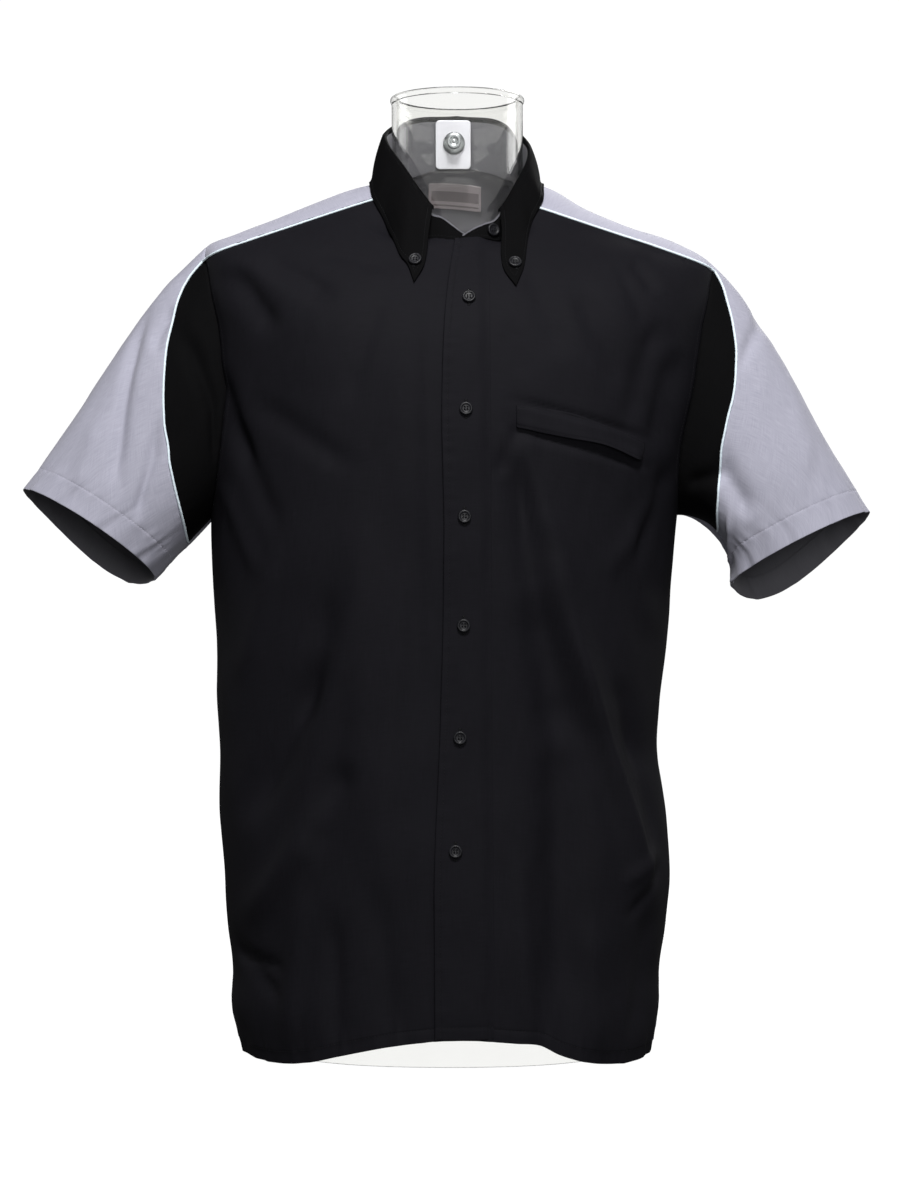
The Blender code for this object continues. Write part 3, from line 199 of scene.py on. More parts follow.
PLACKET_LEFT = ((29, -12.8), (194, -12.5), (290, -8.5), (460, -5.1), (590, -6.7),
                (670, -2.6), (719, 4.4))
PLACKET_RIGHT = ((29, 38.3), (460, 35.5), (590, 35.0), (719, 34.0))
PLACKET_BUTTONS = ((16.3, 663.6), (13.6, 566.4), (12.3, 474.9), (11.6, 382.3),
                   (8.5, 286.8), (4.7, 190.3))
LEAF_BUTTONS = {"right": (-29.8, 697.5), "left": (56.7, 696.0)}
STAND_BUTTON = (35.0, 727.6)
POCKET_TOP = ((56, 570), (101, 564.5), (139, 552), (168, 541))
POCKET_BOTTOM = ((56, 552), (101, 543), (132, 537), (165, 525))


# ------------------------------------------------------------- number helpers

def cubic(t: Array, first: Array, last: Array, leave: Array, arrive: Array) -> Array:
    """The cubic in t from first (t 0) to last (t 1) with these slopes at its ends."""
    return ((2 * t**3 - 3 * t**2 + 1) * first + (t**3 - 2 * t**2 + t) * leave
            + (3 * t**2 - 2 * t**3) * last + (t**3 - t**2) * arrive)


def curve(x: Array, xs: Sequence[float], ys: Sequence[float]) -> Array:
    """Smooth curve through points: a cubic in each gap, with mean slopes at the points.

    Args:
        x: where the curve is read.
        xs: places of the points, rising.
        ys: their values.

    Returns:
        The curve's values at x.
    """
    xs, ys = np.asarray(xs, float), np.asarray(ys, float)
    x = np.clip(np.asarray(x, float), xs[0], xs[-1])
    gaps = np.diff(xs)
    steps = np.diff(ys) / gaps
    slopes = np.empty_like(ys)
    slopes[0], slopes[-1] = steps[0], steps[-1]
    slopes[1:-1] = (steps[:-1] * gaps[1:] + steps[1:] * gaps[:-1]) / (gaps[1:] + gaps[:-1])
    i = np.clip(np.searchsorted(xs, x, side="right") - 1, 0, len(xs) - 2)
    h = gaps[i]
    t = (x - xs[i]) / h
    return cubic(t, ys[i], ys[i + 1], h * slopes[i], h * slopes[i + 1])


def read(table: Table, x: Array) -> Array:
    """A table's second column, read smoothly at places x of its first."""
    return curve(x, *np.array(table, float).T)


def smooth(x: Array, low: float, high: float) -> Array:
    """0 below low, 1 above high, and an even S between."""
    t = np.clip((x - low) / (high - low), 0, 1)
    return t * t * (3 - 2 * t)


def unit(vectors: Array) -> Array:
    """The vectors at length 1."""
    return vectors / np.maximum(np.linalg.norm(vectors, axis=-1, keepdims=True), 1e-9)


def power_of(value: Array, exponent: Any) -> Array:
    """The value's size to a power, with its sign kept."""
    return np.sign(value) * np.abs(value) ** exponent


def pairs(angle: Array, level: Array) -> Array:
    """Angle and level side by side, as rows of a path."""
    return np.stack(np.broadcast_arrays(angle, level), -1).astype(float)


def bell(offset: Array, width: float) -> Array:
    """1 in the middle, falling off as a bell of this width."""
    return np.exp(-((offset / width) ** 2))


def crease(offset: Array, run: Array, width: float, fade: tuple[float, float]) -> Array:
    """A soft ridge of height 1 along a run: a bell across, and an even S at both ends.

    Args:
        offset: each point's place from the run's start, in two directions.
        run: from the start to the end.
        width: width of the bell.
        fade: shares of the run, before the end and past it, over which it fades.

    Returns:
        The ridge's height at each point.
    """
    length = float(np.hypot(*run))
    along = offset @ run / length**2
    away = (offset[..., 0] * run[1] - offset[..., 1] * run[0]) / length
    ends = (smooth(along, -fade[0], fade[1])
            * (1 - smooth(along, 1 - fade[1], 1 + fade[0])))
    return ends * bell(away, width)


def travelled(path: Array) -> Array:
    """Distance from a path's start to each of its points."""
    return np.insert(np.cumsum(np.linalg.norm(np.diff(path, axis=0), axis=-1)), 0, 0.0)


def at_distance(values: Array, distance: Array, at: Array) -> Array:
    """Rows of values, known at distances along a path, read at other distances."""
    return np.stack([np.interp(at, distance, column) for column in values.T], -1)


def circle(count: int) -> Array:
    """Evenly spaced turns of a circle in radians."""
    return np.linspace(0, 2 * math.pi, count, endpoint=False)


def tube(rows: int, sides: int, tips: bool = False) -> list[Array]:
    """Faces that join rings of points in order and close both ends: with one face, or
    with a fan round a tip, a point before the first ring and one after the last.

    Args:
        rows, sides: number of rings, and of points in each.
        tips: whether the ends are fans.

    Returns:
        The quads, and the faces of both ends.
    """
    ids = int(tips) + np.arange(rows * sides).reshape(rows, sides)
    after = np.roll(ids, -1, axis=1)
    quads = np.stack([ids[:-1], ids[1:], after[1:], after[:-1]], -1).reshape(-1, 4)
    if not tips:
        return [quads, np.stack([ids[0], ids[-1][::-1]])]
    tip = ids[0] * 0
    return [quads, np.concatenate([
        np.stack([tip, ids[0], after[0]], -1),
        np.stack([tip + rows * sides + 1, after[-1], ids[-1]], -1)])]


def patch(low: Array, high: Array, start: Array, end: Array, u: Array, v: Array) -> Array:
    """Fill a grid between four edges: each pair of opposite edges is blended, the two
    blends are added, and the blend of the corners is taken off.

    Args:
        low, high: lower and upper edge, read at u.
        start, end: first and last side, read at v.
        u, v: shares across and up, from 0 to 1.

    Returns:
        The grid, one row for each v.
    """
    u, v = u[None, :, None], v[:, None, None]
    corners = ((1 - u) * (1 - v) * low[0] + u * (1 - v) * low[-1]
               + (1 - u) * v * high[0] + u * v * high[-1])
    return ((1 - v) * low[None] + v * high[None]
            + (1 - u) * start[:, None] + u * end[:, None] - corners)


def stops(length: float, cells: int, near: Sequence[float] = (),
          far: Sequence[float] = ()) -> Array:
    """Shares from 0 to 1 for a grid's lines: even cells, and extra lines at some
    distances from the near and the far end.

    Args:
        length: the grid's usual length in millimetres.
        cells: number of even cells.
        near: distances of extra lines from the near end.
        far: distances of extra lines from the far end.

    Returns:
        The shares in order, none closer than the extra lines ask.
    """
    even = np.linspace(0, length, cells + 1)
    extra = np.concatenate([np.asarray(near, float), length - np.asarray(far, float)])
    if len(extra):
        clear = np.min(np.abs(even[:, None] - extra[None]), axis=1) > 0.3 * length / cells
        clear[[0, -1]] = True
        even = even[clear]
    return np.unique(np.round(np.concatenate([even, extra]), 4)) / length


# Distances of extra grid lines, in millimetres, beside a seam, beside a row of topstitching
# at 6.2 from an edge, in a hem, and round a turned edge.
SEAM_LINES = (0.25, 0.6, 1.1, 1.9, 3.0)
STITCH_LINES = (5.6, 6.2, 6.8)
HEM_LINES = (0.15, 0.4, 0.8, 1.5)
EDGE_LINES = (0.2, 0.5, 1.0)
TOPSTITCH = 6.2


def around_line(distance: float, width: float = 0.7) -> tuple[float, ...]:
    """Extra grid lines that let a groove of this width show at a distance."""
    return (distance - 1.6 * width, distance - 0.8 * width, distance,
            distance + 0.8 * width, distance + 1.6 * width)


# ----------------------------------------------------------------- folds and ripples

@dataclass(frozen=True)
class Fold:
    """A soft ridge (height above 0) or trough between two places of the shirt's front or
    back. Its section is a bell, and both ends fade."""

    face: Face
    x0: float
    z0: float
    x1: float
    z1: float
    width: float
    height: float

    def depth(self, points: Array, ahead: Array) -> Array:
        """Height of the fold at each point.

        Args:
            points: points of the plain surface.
            ahead: cosine of their angle from the front.

        Returns:
            How far the fold pushes each point out.
        """
        facing = smooth(ahead * self.face.value, 0.12, 0.4)
        run = np.array([self.x1 - self.x0, self.z1 - self.z0], float)
        offset = points[..., [0, 2]] - (self.x0, self.z0)
        return self.height * facing * crease(offset, run, self.width, (0.18, 0.22))


def folds(face: Face, rows: Sequence[Sequence[float]]) -> tuple[Fold, ...]:
    """Folds of one side from rows of x0, z0, x1, z1, width and height."""
    return tuple(Fold(face, *row) for row in rows)


LARGE_FOLDS = folds(Face.FRONT, (
    (55, 545, 84, 458, 11, 3.4), (82, 458, 133, 273, 15, 5.0),
    (133, 273, 171, 140, 15, 5.0), (60, 520, 76, 400, 15, -4.5),
    (76, 400, 96, 290, 19, -6.5), (96, 290, 98, 50, 20, -6.5),
    (-117, 342, -172, 222, 13, -5.0), (-98, 232, -172, 130, 13, 4.0),
    (-88, 259, -117, 193, 12, -3.0), (-75, 480, -70, 180, 20, 3.0),
    (-164, 699, -104, 667, 10, -3.0), (-190, 690, -154, 639, 11, -4.0),
    (112, 668, 150, 588, 13, -2.6), (70, 690, 96, 620, 12, -1.6),
    (179, 640, 158, 562, 12, -4.0), (195, 614, 177, 540, 11, -3.5),
)) + folds(Face.BACK, (
    (-150, 640, -110, 420, 16, -5.0), (155, 620, 112, 400, 17, -5.0),
    (-95, 430, -120, 60, 20, 5.0), (100, 410, 128, 50, 20, 5.0),
    (-40, 560, -52, 40, 24, -4.5), (48, 520, 60, 50, 22, -4.0),
    (5, 470, 2, 60, 22, 3.5),
))
FINE_FOLDS = folds(Face.FRONT, (
    (-166, 573, -88, 519, 11, -1.8), (-112, 706, -50, 690, 7, -1.4),
    (161, 698, 178, 672, 7, -2.2), (150, 690, 168, 640, 8, -1.6),
    (-200, 600, -176, 520, 8, -2.6), (-192, 560, -150, 470, 9, -2.0),
    (-196, 500, -168, 430, 8, 1.6), (192, 520, 160, 440, 8, -2.0),
    (182, 500, 138, 430, 9, 1.5), (-190, 96, -146, 86, 5, -2.2),
    (-194, 110, -150, 60, 7, -1.8), (176, 186, 150, 160, 5, 1.6),
    (180, 170, 156, 130, 5, -1.8), (172, 120, 160, 30, 8, -2.0),
    (-30, 640, -26, 320, 9, -1.1), (-44, 410, -58, 150, 11, 1.6),
    (-128, 150, -140, 20, 10, 2.2), (-100, 130, -96, 25, 9, -2.0),
    (-60, 150, -50, 35, 11, -1.6), (60, 180, 66, 40, 9, 1.8),
    (120, 120, 128, 20, 9, 2.2), (145, 330, 165, 260, 9, -2.0),
    (52, 640, 62, 596, 8, -0.6), (-60, 660, -86, 580, 9, -1.3),
    (150, 470, 176, 380, 10, 1.6), (-150, 440, -180, 340, 10, 1.8),
    (100, 384, 168, 166, 5, 2.3), (86, 384, 148, 186, 9, -2.4),
    (152, 300, 180, 190, 7, -2.0), (58, 556, 66, 470, 6, -2.2),
    (60, 573, 166, 546, 3.6, -1.7),
    (60, 548, 163, 521, 4.2, -2.0), (57, 550, 42, 512, 5, -1.6),
    (-81, 396, -136, 192, 12, 2.2), (-104, 400, -128, 300, 12, -2.4),
)) + folds(Face.BACK, (
    (-188, 610, -150, 500, 9, -2.4), (190, 600, 150, 480, 9, -2.4),
    (-70, 640, -62, 420, 12, 2.0), (78, 640, 70, 430, 12, 2.0),
    (-150, 300, -165, 60, 12, -2.6), (150, 290, 166, 60, 12, -2.6),
    (-20, 300, -30, 40, 12, -2.2), (26, 260, 34, 40, 12, -2.2),
    (-110, 690, -60, 660, 10, -1.6), (112, 684, 64, 656, 10, -1.6),
))


@dataclass(frozen=True)
class Ripple:
    """The small unevenness of worn cloth: sums of sine waves in random directions, the
    long ones high and the short ones low, drawn out along the thread that hangs."""

    seed: int = 11
    waves: tuple[tuple[float, float, int], ...] = (
        (95.0, 0.9, 7), (42.0, 0.42, 9), (19.0, 0.13, 11))
    stretch: tuple[float, float, float] = (1.0, 1.0, 0.42)

    def height(self, points: Array) -> Array:
        """Height of the waves.

        Args:
            points: where they are read.

        Returns:
            The height at each point.
        """
        generator = np.random.default_rng(self.seed)
        total = np.zeros(points.shape[:-1])
        for length, height, count in self.waves:
            ways = unit(generator.normal(size=(count, 3)))
            lengths = length * generator.uniform(0.7, 1.4, count)
            phases = generator.uniform(0, 2 * math.pi, count)
            turn = (points * self.stretch) @ (ways / lengths[:, None]).T * 2 * math.pi
            total += height * np.sin(turn + phases).sum(-1) / math.sqrt(count)
        return total


RIPPLE = Ripple()


# --------------------------------------------------------------- the two surfaces

@dataclass
class Bust:
    """The shirt's body as one closed surface of angle (degrees from the front towards
    +X) and level. A ring is a superellipse; its height passes from the sides' values to
    the front's or back's with the square of the cosine. Every method that takes angle
    and level takes arrays of them and returns a row for each place."""

    inset: dict[str, tuple[Sequence[float], Sequence[float]]] = field(default_factory=dict)
    search: Optional[tuple[Array, Array, Array]] = None
    relief: float = 1.8  # how much deeper the folds are than the solids' own
    neck_dip: float = 0.28  # extra drop of the neck's edge between front and side
    neck_dip_angle: float = 35.0
    neck_dip_width: float = 14.0
    neck_dip_level: float = 820.0

    def ring(self, level: Array) -> dict[str, Array]:
        """The ring's columns at each level, less the inset.

        Args:
            level: the levels.

        Returns:
            Each column's values by its name.
        """
        ring = {name: curve(level, RING["level"], RING[name]) for name in RING_COLUMNS[1:]}
        for name, (levels, values) in self.inset.items():
            ring[name] = ring[name] - curve(level, levels, values)
        return ring

    def half_width(self, ring: dict[str, Array], right: Array) -> Array:
        """A ring's reach from its own middle, to the viewer's right or to the left."""
        return np.where(right, ring["plus_x"] - ring["centre"],
                        ring["minus_x"] + ring["centre"])

    def plain(self, angle: Array, level: Array) -> Array:
        """Points of the surface without its folds.

        Args:
            angle, level: places on the surface.

        Returns:
            The points.
        """
        angle = np.radians(np.asarray(angle, float))
        level = np.asarray(level, float)
        ring = self.ring(level)
        across, ahead = np.sin(angle), np.cos(angle)
        grow = 2 / ring["power"]
        x = ring["centre"] + self.half_width(ring, across > 0) * power_of(across, grow)
        y = -np.where(ahead > 0, ring["front"], ring["back"]) * power_of(ahead, grow)
        turn = 0.5 + 0.5 * np.clip(across * 6, -1, 1)
        z_side = ring["z_minus"] * (1 - turn) + ring["z_plus"] * turn
        z_end = np.where(ahead > 0, ring["z_front"], ring["z_back"])
        off_front = np.degrees(np.arccos(np.clip(ahead, -1, 1)))
        dip = (self.neck_dip * smooth(level, self.neck_dip_level, NECK_LEVEL)
               * bell(off_front - self.neck_dip_angle, self.neck_dip_width))
        z = z_side + (z_end - z_side) * (ahead**2 + dip)
        return np.stack(np.broadcast_arrays(x, y, z), -1)

    def point(self, angle: Array, level: Array) -> Array:
        """Points of the surface with its folds and ripples, which push straight out.

        Args:
            angle, level: places on the surface.

        Returns:
            The points.
        """
        base = self.plain(angle, level)
        turn = np.radians(np.asarray(angle, float))
        out = np.stack(np.broadcast_arrays(np.sin(turn), -np.cos(turn), turn * 0), -1)
        ahead = np.cos(turn)
        depth = self.relief * sum(fold.depth(base, ahead)
                                  for fold in LARGE_FOLDS + FINE_FOLDS)
        calm = 1 - 0.75 * smooth(np.asarray(level, float), 700, 800)
        depth = depth + calm * RIPPLE.height(base)
        return base + out * depth[..., None]

    def normal(self, angle: Array, level: Array) -> Array:
        """Outward unit normals, from differences along the two directions.

        Args:
            angle, level: places on the surface.

        Returns:
            The normals.
        """
        angle = np.asarray(angle, float)
        d_angle = self.point(angle + 0.5, level) - self.point(angle - 0.5, level)
        level = np.clip(level, 1.5, NECK_LEVEL - 1.5)
        d_level = self.point(angle, level + 1.5) - self.point(angle, level - 1.5)
        return unit(np.cross(d_angle, d_level))

    def angle_at(self, x: Array, level: Array) -> Array:
        """Angle on the front where the ring at this level is at x.

        Args:
            x, level: places as seen from the front.

        Returns:
            The angles.
        """
        ring = self.ring(np.asarray(level, float))
        off = np.asarray(x, float) - ring["centre"]
        share = off / self.half_width(ring, off > 0)
        return np.degrees(np.arcsin(power_of(share, ring["power"] / 2)))

    def find(self, x: Array, z: Array) -> Array:
        """Angle and level on the front of points seen at x and z: the nearest point of
        a grid, then five Newton steps.

        Args:
            x, z: places as seen from the front.

        Returns:
            One row of angle and level for each place.
        """
        if self.search is None:
            grids = np.meshgrid(np.linspace(-100, 100, 201), np.linspace(0, NECK_LEVEL, 297))
            self.search = (*grids, self.point(*grids))
        x, z = np.atleast_1d(x).astype(float), np.atleast_1d(z).astype(float)
        grid_angle, grid_level, grid = self.search
        near = np.argmin((grid[..., 0].ravel() - x[:, None]) ** 2
                         + (grid[..., 2].ravel() - z[:, None]) ** 2, axis=1)
        angle, level = grid_angle.ravel()[near], grid_level.ravel()[near]
        for _ in range(5):
            here = self.point(angle, level)
            step = np.where(level > 1, -0.5, 0.5)
            d_a = (self.point(angle + 0.2, level) - here) / 0.2
            d_l = (self.point(angle, level + step) - here) / step[:, None]
            det = d_a[:, 0] * d_l[:, 2] - d_l[:, 0] * d_a[:, 2]
            det = np.where(np.abs(det) < 1e-3, np.inf, det)
            miss_x, miss_z = x - here[:, 0], z - here[:, 2]
            angle = angle + np.clip((miss_x * d_l[:, 2] - d_l[:, 0] * miss_z) / det, -3, 3)
            level = level + np.clip((d_a[:, 0] * miss_z - d_a[:, 2] * miss_x) / det, -8, 8)
            level = np.clip(level, 0, NECK_LEVEL)
        return np.stack([angle, level], -1)

    def on_front(self, x: Array, z: Array, lift: float) -> tuple[Array, Array]:
        """Points a height away from the front that are seen at x and z.

        Args:
            x, z: places as seen from the front.
            lift: height above the surface.

        Returns:
            The points and the normals there.
        """
        target = np.stack([np.atleast_1d(x), np.atleast_1d(z)], -1).astype(float)
        aim = target.copy()
        for _ in range(4):
            at = self.find(aim[:, 0], aim[:, 1])
            normal = self.normal(at[:, 0], at[:, 1])
            point = self.point(at[:, 0], at[:, 1]) + normal * lift
            aim = aim + target - point[:, [0, 2]]
        return point, normal


BODY = Bust()


@dataclass
class Sleeve:
    """An armhole on the bust and the sleeve that leaves it. turn is degrees round the
    armhole: 0 in front, 90 at the shoulder, 180 behind, -90 underarm; along runs from 0
    at the armhole to 1 at the cuff, on a cubic between the two rings."""

    sign: int
    relief: float = 1.5  # how much deeper the creases are than their table says
    degree_mm: float = 1.15  # a degree of turn and the whole length, on the sleeve rolled flat
    length_mm: float = 190.0
    front_swell: float = 34.0
    top_way: tuple[float, float] = (0.8, 0.59)  # the way its top bows, out and up
    under_way: tuple[float, float] = (0.773, 0.634)

    def __post_init__(self) -> None:
        """Work out the cuff's ring, the yoke's corner and where the creases lie."""
        self.side = dict(zip(SIDE_COLUMNS, SIDES[self.sign]))
        outer, inner = (np.array([self.sign * self.side[f"cuff_{end}_x"], CUFF_FORWARD,
                                  self.side[f"cuff_{end}_z"]]) for end in ("outer", "inner"))
        self.middle = (outer + inner) / 2
        self.long_axis = (outer - inner) / 2
        slope = abs(self.long_axis[2] / self.long_axis[0])
        self.tilt = np.array([-self.sign * slope, 0.0, 1.0])
        self.grids = np.meshgrid(np.linspace(-100, 95, 196), np.linspace(0, 1, 401))
        self.grid = self.base(*self.grids)
        turns = np.linspace(0, 90, 361)
        heights = BODY.point(*self.seam(turns))[..., 2]
        self.corner = float(np.interp(self.side["yoke_corner_z"], heights, turns))
        self.piped_rows = np.array(PIPED[self.sign] + ((self.corner, PANEL_TIP),)).T
        near = [(*self.find(x0, z0), *self.find(x1, z1), w, h)
                for x0, z0, x1, z1, w, h in CREASES[self.sign]]
        self.placed = tuple(near) + FAR_CREASES[self.sign]

    def seam(self, turn: Array) -> tuple[Array, Array]:
        """Angle and level on the bust of a point of the armhole, a superellipse.

        Args:
            turn: places round the armhole.

        Returns:
            Their angles and their levels.
        """
        t = np.radians(np.asarray(turn, float))
        grow = 2 / ARMHOLE_SQUARENESS
        wide = np.where(np.cos(t) > 0, self.side["armhole_front"],
                        self.side["armhole_back"])
        middle = (UNDERARM_LEVEL + SHOULDER_LEVEL) / 2
        half = (SHOULDER_LEVEL - UNDERARM_LEVEL) / 2
        return (self.sign * (SIDE_ANGLE - wide * power_of(np.cos(t), grow)),
                middle + half * power_of(np.sin(t), grow))

    def front_turn(self, share: Array) -> Array:
        """Turn from the underarm (share 0) up to the yoke's corner (share 1)."""
        return -90 + (self.corner + 90) * (1 - (1 - share) ** 1.25)

    def base(self, turn: Array, along: Array) -> Array:
        """Points of the sleeve without its creases.

        Args:
            turn, along: places on the sleeve.

        Returns:
            The points.
        """
        turn = np.asarray(turn, float)
        s = np.asarray(along, float)[..., None]
        t = np.radians(turn)[..., None]
        start = BODY.point(*self.seam(turn))
        ahead = CUFF_DEPTH * np.cos(t)
        drop = self.side["cuff_drop"] * (1 - CUFF_SAG * np.sin(t))
        lean = np.where(ahead > 0, self.side["cuff_rise"], drop)
        end = (self.middle + self.long_axis * np.sin(t) + ahead * lean * self.tilt
               + ahead * CUFF_AHEAD)
        chord = end - start
        up = np.clip(np.sin(t), 0, 1) ** 1.5
        swell = (self.side["top_swell"] * up
                 * np.array([self.top_way[0] * self.sign, 0, self.top_way[1]]))
        swell = swell - np.array([0, self.front_swell, 0]) * np.cos(t)
        under = np.clip(-np.sin(t), 0, 1) ** np.where(np.cos(t) < 0, 1.3, 3.0)
        bow = (self.side["under_swell"] * under
               * np.array([self.under_way[0] * self.sign, 0, self.under_way[1]]))
        return cubic(s, start, end, chord * 0.8 + swell + bow, chord - bow)

    def point(self, turn: Array, along: Array) -> Array:
        """Points of the sleeve with its creases, set out on the sleeve rolled flat, and
        its ripples.

        Args:
            turn, along: places on the sleeve.

        Returns:
            The points.
        """
        turn, along = np.broadcast_arrays(np.asarray(turn, float), np.asarray(along, float))
        base = self.base(turn, along)
        near = np.clip(along, 0.004, 0.996)
        d_turn = self.base(turn + 0.5, along) - self.base(turn - 0.5, along)
        d_along = self.base(turn, near + 0.004) - self.base(turn, near - 0.004)
        out = unit(np.cross(d_along, d_turn)) * self.sign
        depth = RIPPLE.height(base)
        rolled = np.array([self.degree_mm, self.length_mm])
        for turn0, along0, turn1, along1, width, height in self.placed:
            run = np.array([turn1 - turn0, along1 - along0]) * rolled
            offset = np.stack([turn - turn0, along - along0], -1) * rolled
            depth = depth + self.relief * height * crease(offset, run, width, (0.2, 0.25))
        return base + out * (depth * smooth(along, 0.0, 0.12))[..., None]

    def find(self, x: float, z: float) -> tuple[float, float]:
        """Turn and along on the sleeve's front at x and z."""
        k = int(np.argmin((self.grid[..., 0] - x) ** 2 + (self.grid[..., 2] - z) ** 2))
        return float(self.grids[0].flat[k]), float(self.grids[1].flat[k])

    def piped(self, turn: Array) -> Array:
        """How far along the sleeve the piped seam is, from the underarm to the yoke."""
        return np.clip(curve(turn, *self.piped_rows), PANEL_TIP, 1)


def yoke_seam(sleeve: Sleeve, share: Array) -> Array:
    """Angle and level along the yoke's front seam: a straight line seen from the front.

    Args:
        sleeve: the sleeve whose corner the seam runs to.
        share: places from the neck (0) to the armhole (1), the first 0 and the last 1.

    Returns:
        One row of angle and level for each place.
    """
    neck_angle = sleeve.sign * sleeve.side["yoke_neck_angle"]
    corner = np.array(sleeve.seam(sleeve.corner), float)
    first = BODY.point(neck_angle, NECK_LEVEL)
    last = BODY.point(*corner)
    t = share[1:-1]
    line = BODY.find(first[0] + t * (last[0] - first[0]), first[2] + t * (last[2] - first[2]))
    return np.concatenate([[(neck_angle, NECK_LEVEL)], line, [corner]])


# --------------------------------------------------------------- shader building

class Value:
    """A number socket of a material. Its operators add Math nodes."""

    def __init__(self, graph: "Graph", socket: bpy.types.NodeSocket) -> None:
        """Keep the graph and the socket."""
        self.graph, self.socket = graph, socket

    def __add__(self, other: Any) -> "Value":
        """self + other."""
        return self.graph.maths("ADD", self, other)

    __radd__ = __add__

    def __mul__(self, other: Any) -> "Value":
        """self * other."""
        return self.graph.maths("MULTIPLY", self, other)

    __rmul__ = __mul__

    def __sub__(self, other: Any) -> "Value":
        """self - other."""
        return self.graph.maths("SUBTRACT", self, other)

    def __rsub__(self, other: Any) -> "Value":
        """other - self."""
        return self.graph.maths("SUBTRACT", other, self)

    def __abs__(self) -> "Value":
        """Size without sign."""
        return self.graph.maths("ABSOLUTE", self)

    def sine(self) -> "Value":
        """Sine of the value in radians."""
        return self.graph.maths("SINE", self)


class Graph:
    """The nodes of one material. Every node comes from one method."""

    def __init__(self, name: str) -> None:
        """Start a material with its shader.

        Args:
            name: the material's name.
        """
        self.material = bpy.data.materials.new(name)
        self.material.use_nodes = True
        self.tree = self.material.node_tree

    def node(self, kind: str, settings: Optional[dict[str, Any]] = None,
             **sockets: Any) -> bpy.types.Node:
        """Add a node.

        Args:
            kind: the node's type without its ShaderNode prefix.
            settings: properties, set before the sockets.
            sockets: values or links by socket name, with _ for a space, or by in_ and
                the socket's number.

        Returns:
            The node.
        """
        node = self.tree.nodes.new("ShaderNode" + kind)
        for key, value in (settings or {}).items():
            setattr(node, key, value)
        for key, value in sockets.items():
            self.put(node.inputs[int(key[3:]) if key.startswith("in_")
                                 else key.replace("_", " ")], value)
        return node

    def put(self, socket: bpy.types.NodeSocket, value: Any) -> None:
        """Link a socket or set its number or colour.

        Args:
            socket: the socket.
            value: a socket, a value, a number or a colour.
        """
        if isinstance(value, Value):
            value = value.socket
        if isinstance(value, bpy.types.NodeSocket):
            self.tree.links.new(value, socket)
        elif socket.type == "RGBA":
            socket.default_value = (*value[:3], 1.0)
        else:
            socket.default_value = value

    def maths(self, operation: str, *values: Any) -> Value:
        """A Math node as a value."""
        sockets = {f"in_{i}": value for i, value in enumerate(values)}
        return Value(self, self.node("Math", {"operation": operation}, **sockets).outputs[0])

    def least(self, first: Any, second: Any) -> Value:
        """The smaller of two values."""
        return self.maths("MINIMUM", first, second)

    def share(self, value: Any) -> Value:
        """A value kept from 0 to 1."""
        return self.least(self.maths("MAXIMUM", value, 0.0), 1.0)

    def mix(self, share: Any, low: Any, high: Any) -> bpy.types.NodeSocket:
        """A colour between low and high."""
        return self.node("Mix", {"data_type": "RGBA"}, in_0=share, in_6=low,
                         in_7=high).outputs[2]

    def noise(self, place: Any, scale: float, detail: float = 2.0) -> Value:
        """Noise of about 0 to 1 at a place."""
        return Value(self, self.node("TexNoise", None, Vector=place, Scale=scale,
                                     Detail=detail).outputs[0])

    def stretched(self, place: Any, scale: Sequence[float]) -> bpy.types.NodeSocket:
        """A place with its axes scaled."""
        return self.node("Mapping", None, Vector=place, Scale=Vector(scale)).outputs[0]

    def bump(self, height: Any, strength: float, distance: float,
             **after: Any) -> bpy.types.NodeSocket:
        """A normal bumped by a height, after another normal if one is given."""
        return self.node("Bump", None, Strength=strength, Distance=distance, Height=height,
                         **after).outputs[0]

    def finish(self, **sockets: Any) -> bpy.types.Material:
        """Set the shader's sockets.

        Args:
            sockets: values or links by socket name, with _ for a space.

        Returns:
            The material.
        """
        shader = self.tree.nodes["Principled BSDF"]
        for key, value in sockets.items():
            self.put(shader.inputs[key.replace("_", " ")], value)
        return self.material


def tint(colour: Colour, share: float) -> Colour:
    """A colour with each part scaled, and none above 1."""
    return tuple(min(1.0, part * share) for part in colour)


@dataclass(frozen=True)
class Finish:
    """What a piece is made of."""

    name: str
    colour: Colour

    def make(self) -> bpy.types.Material:
        """Build the material."""
        g = Graph(self.name)
        return g.finish(**self.sockets(g, g.node("TexCoord").outputs["Object"]))

    def sockets(self, g: Graph, body: Any) -> dict[str, Any]:
        """The shader's sockets, from a place on the object."""
        return {"Base_Color": self.colour}


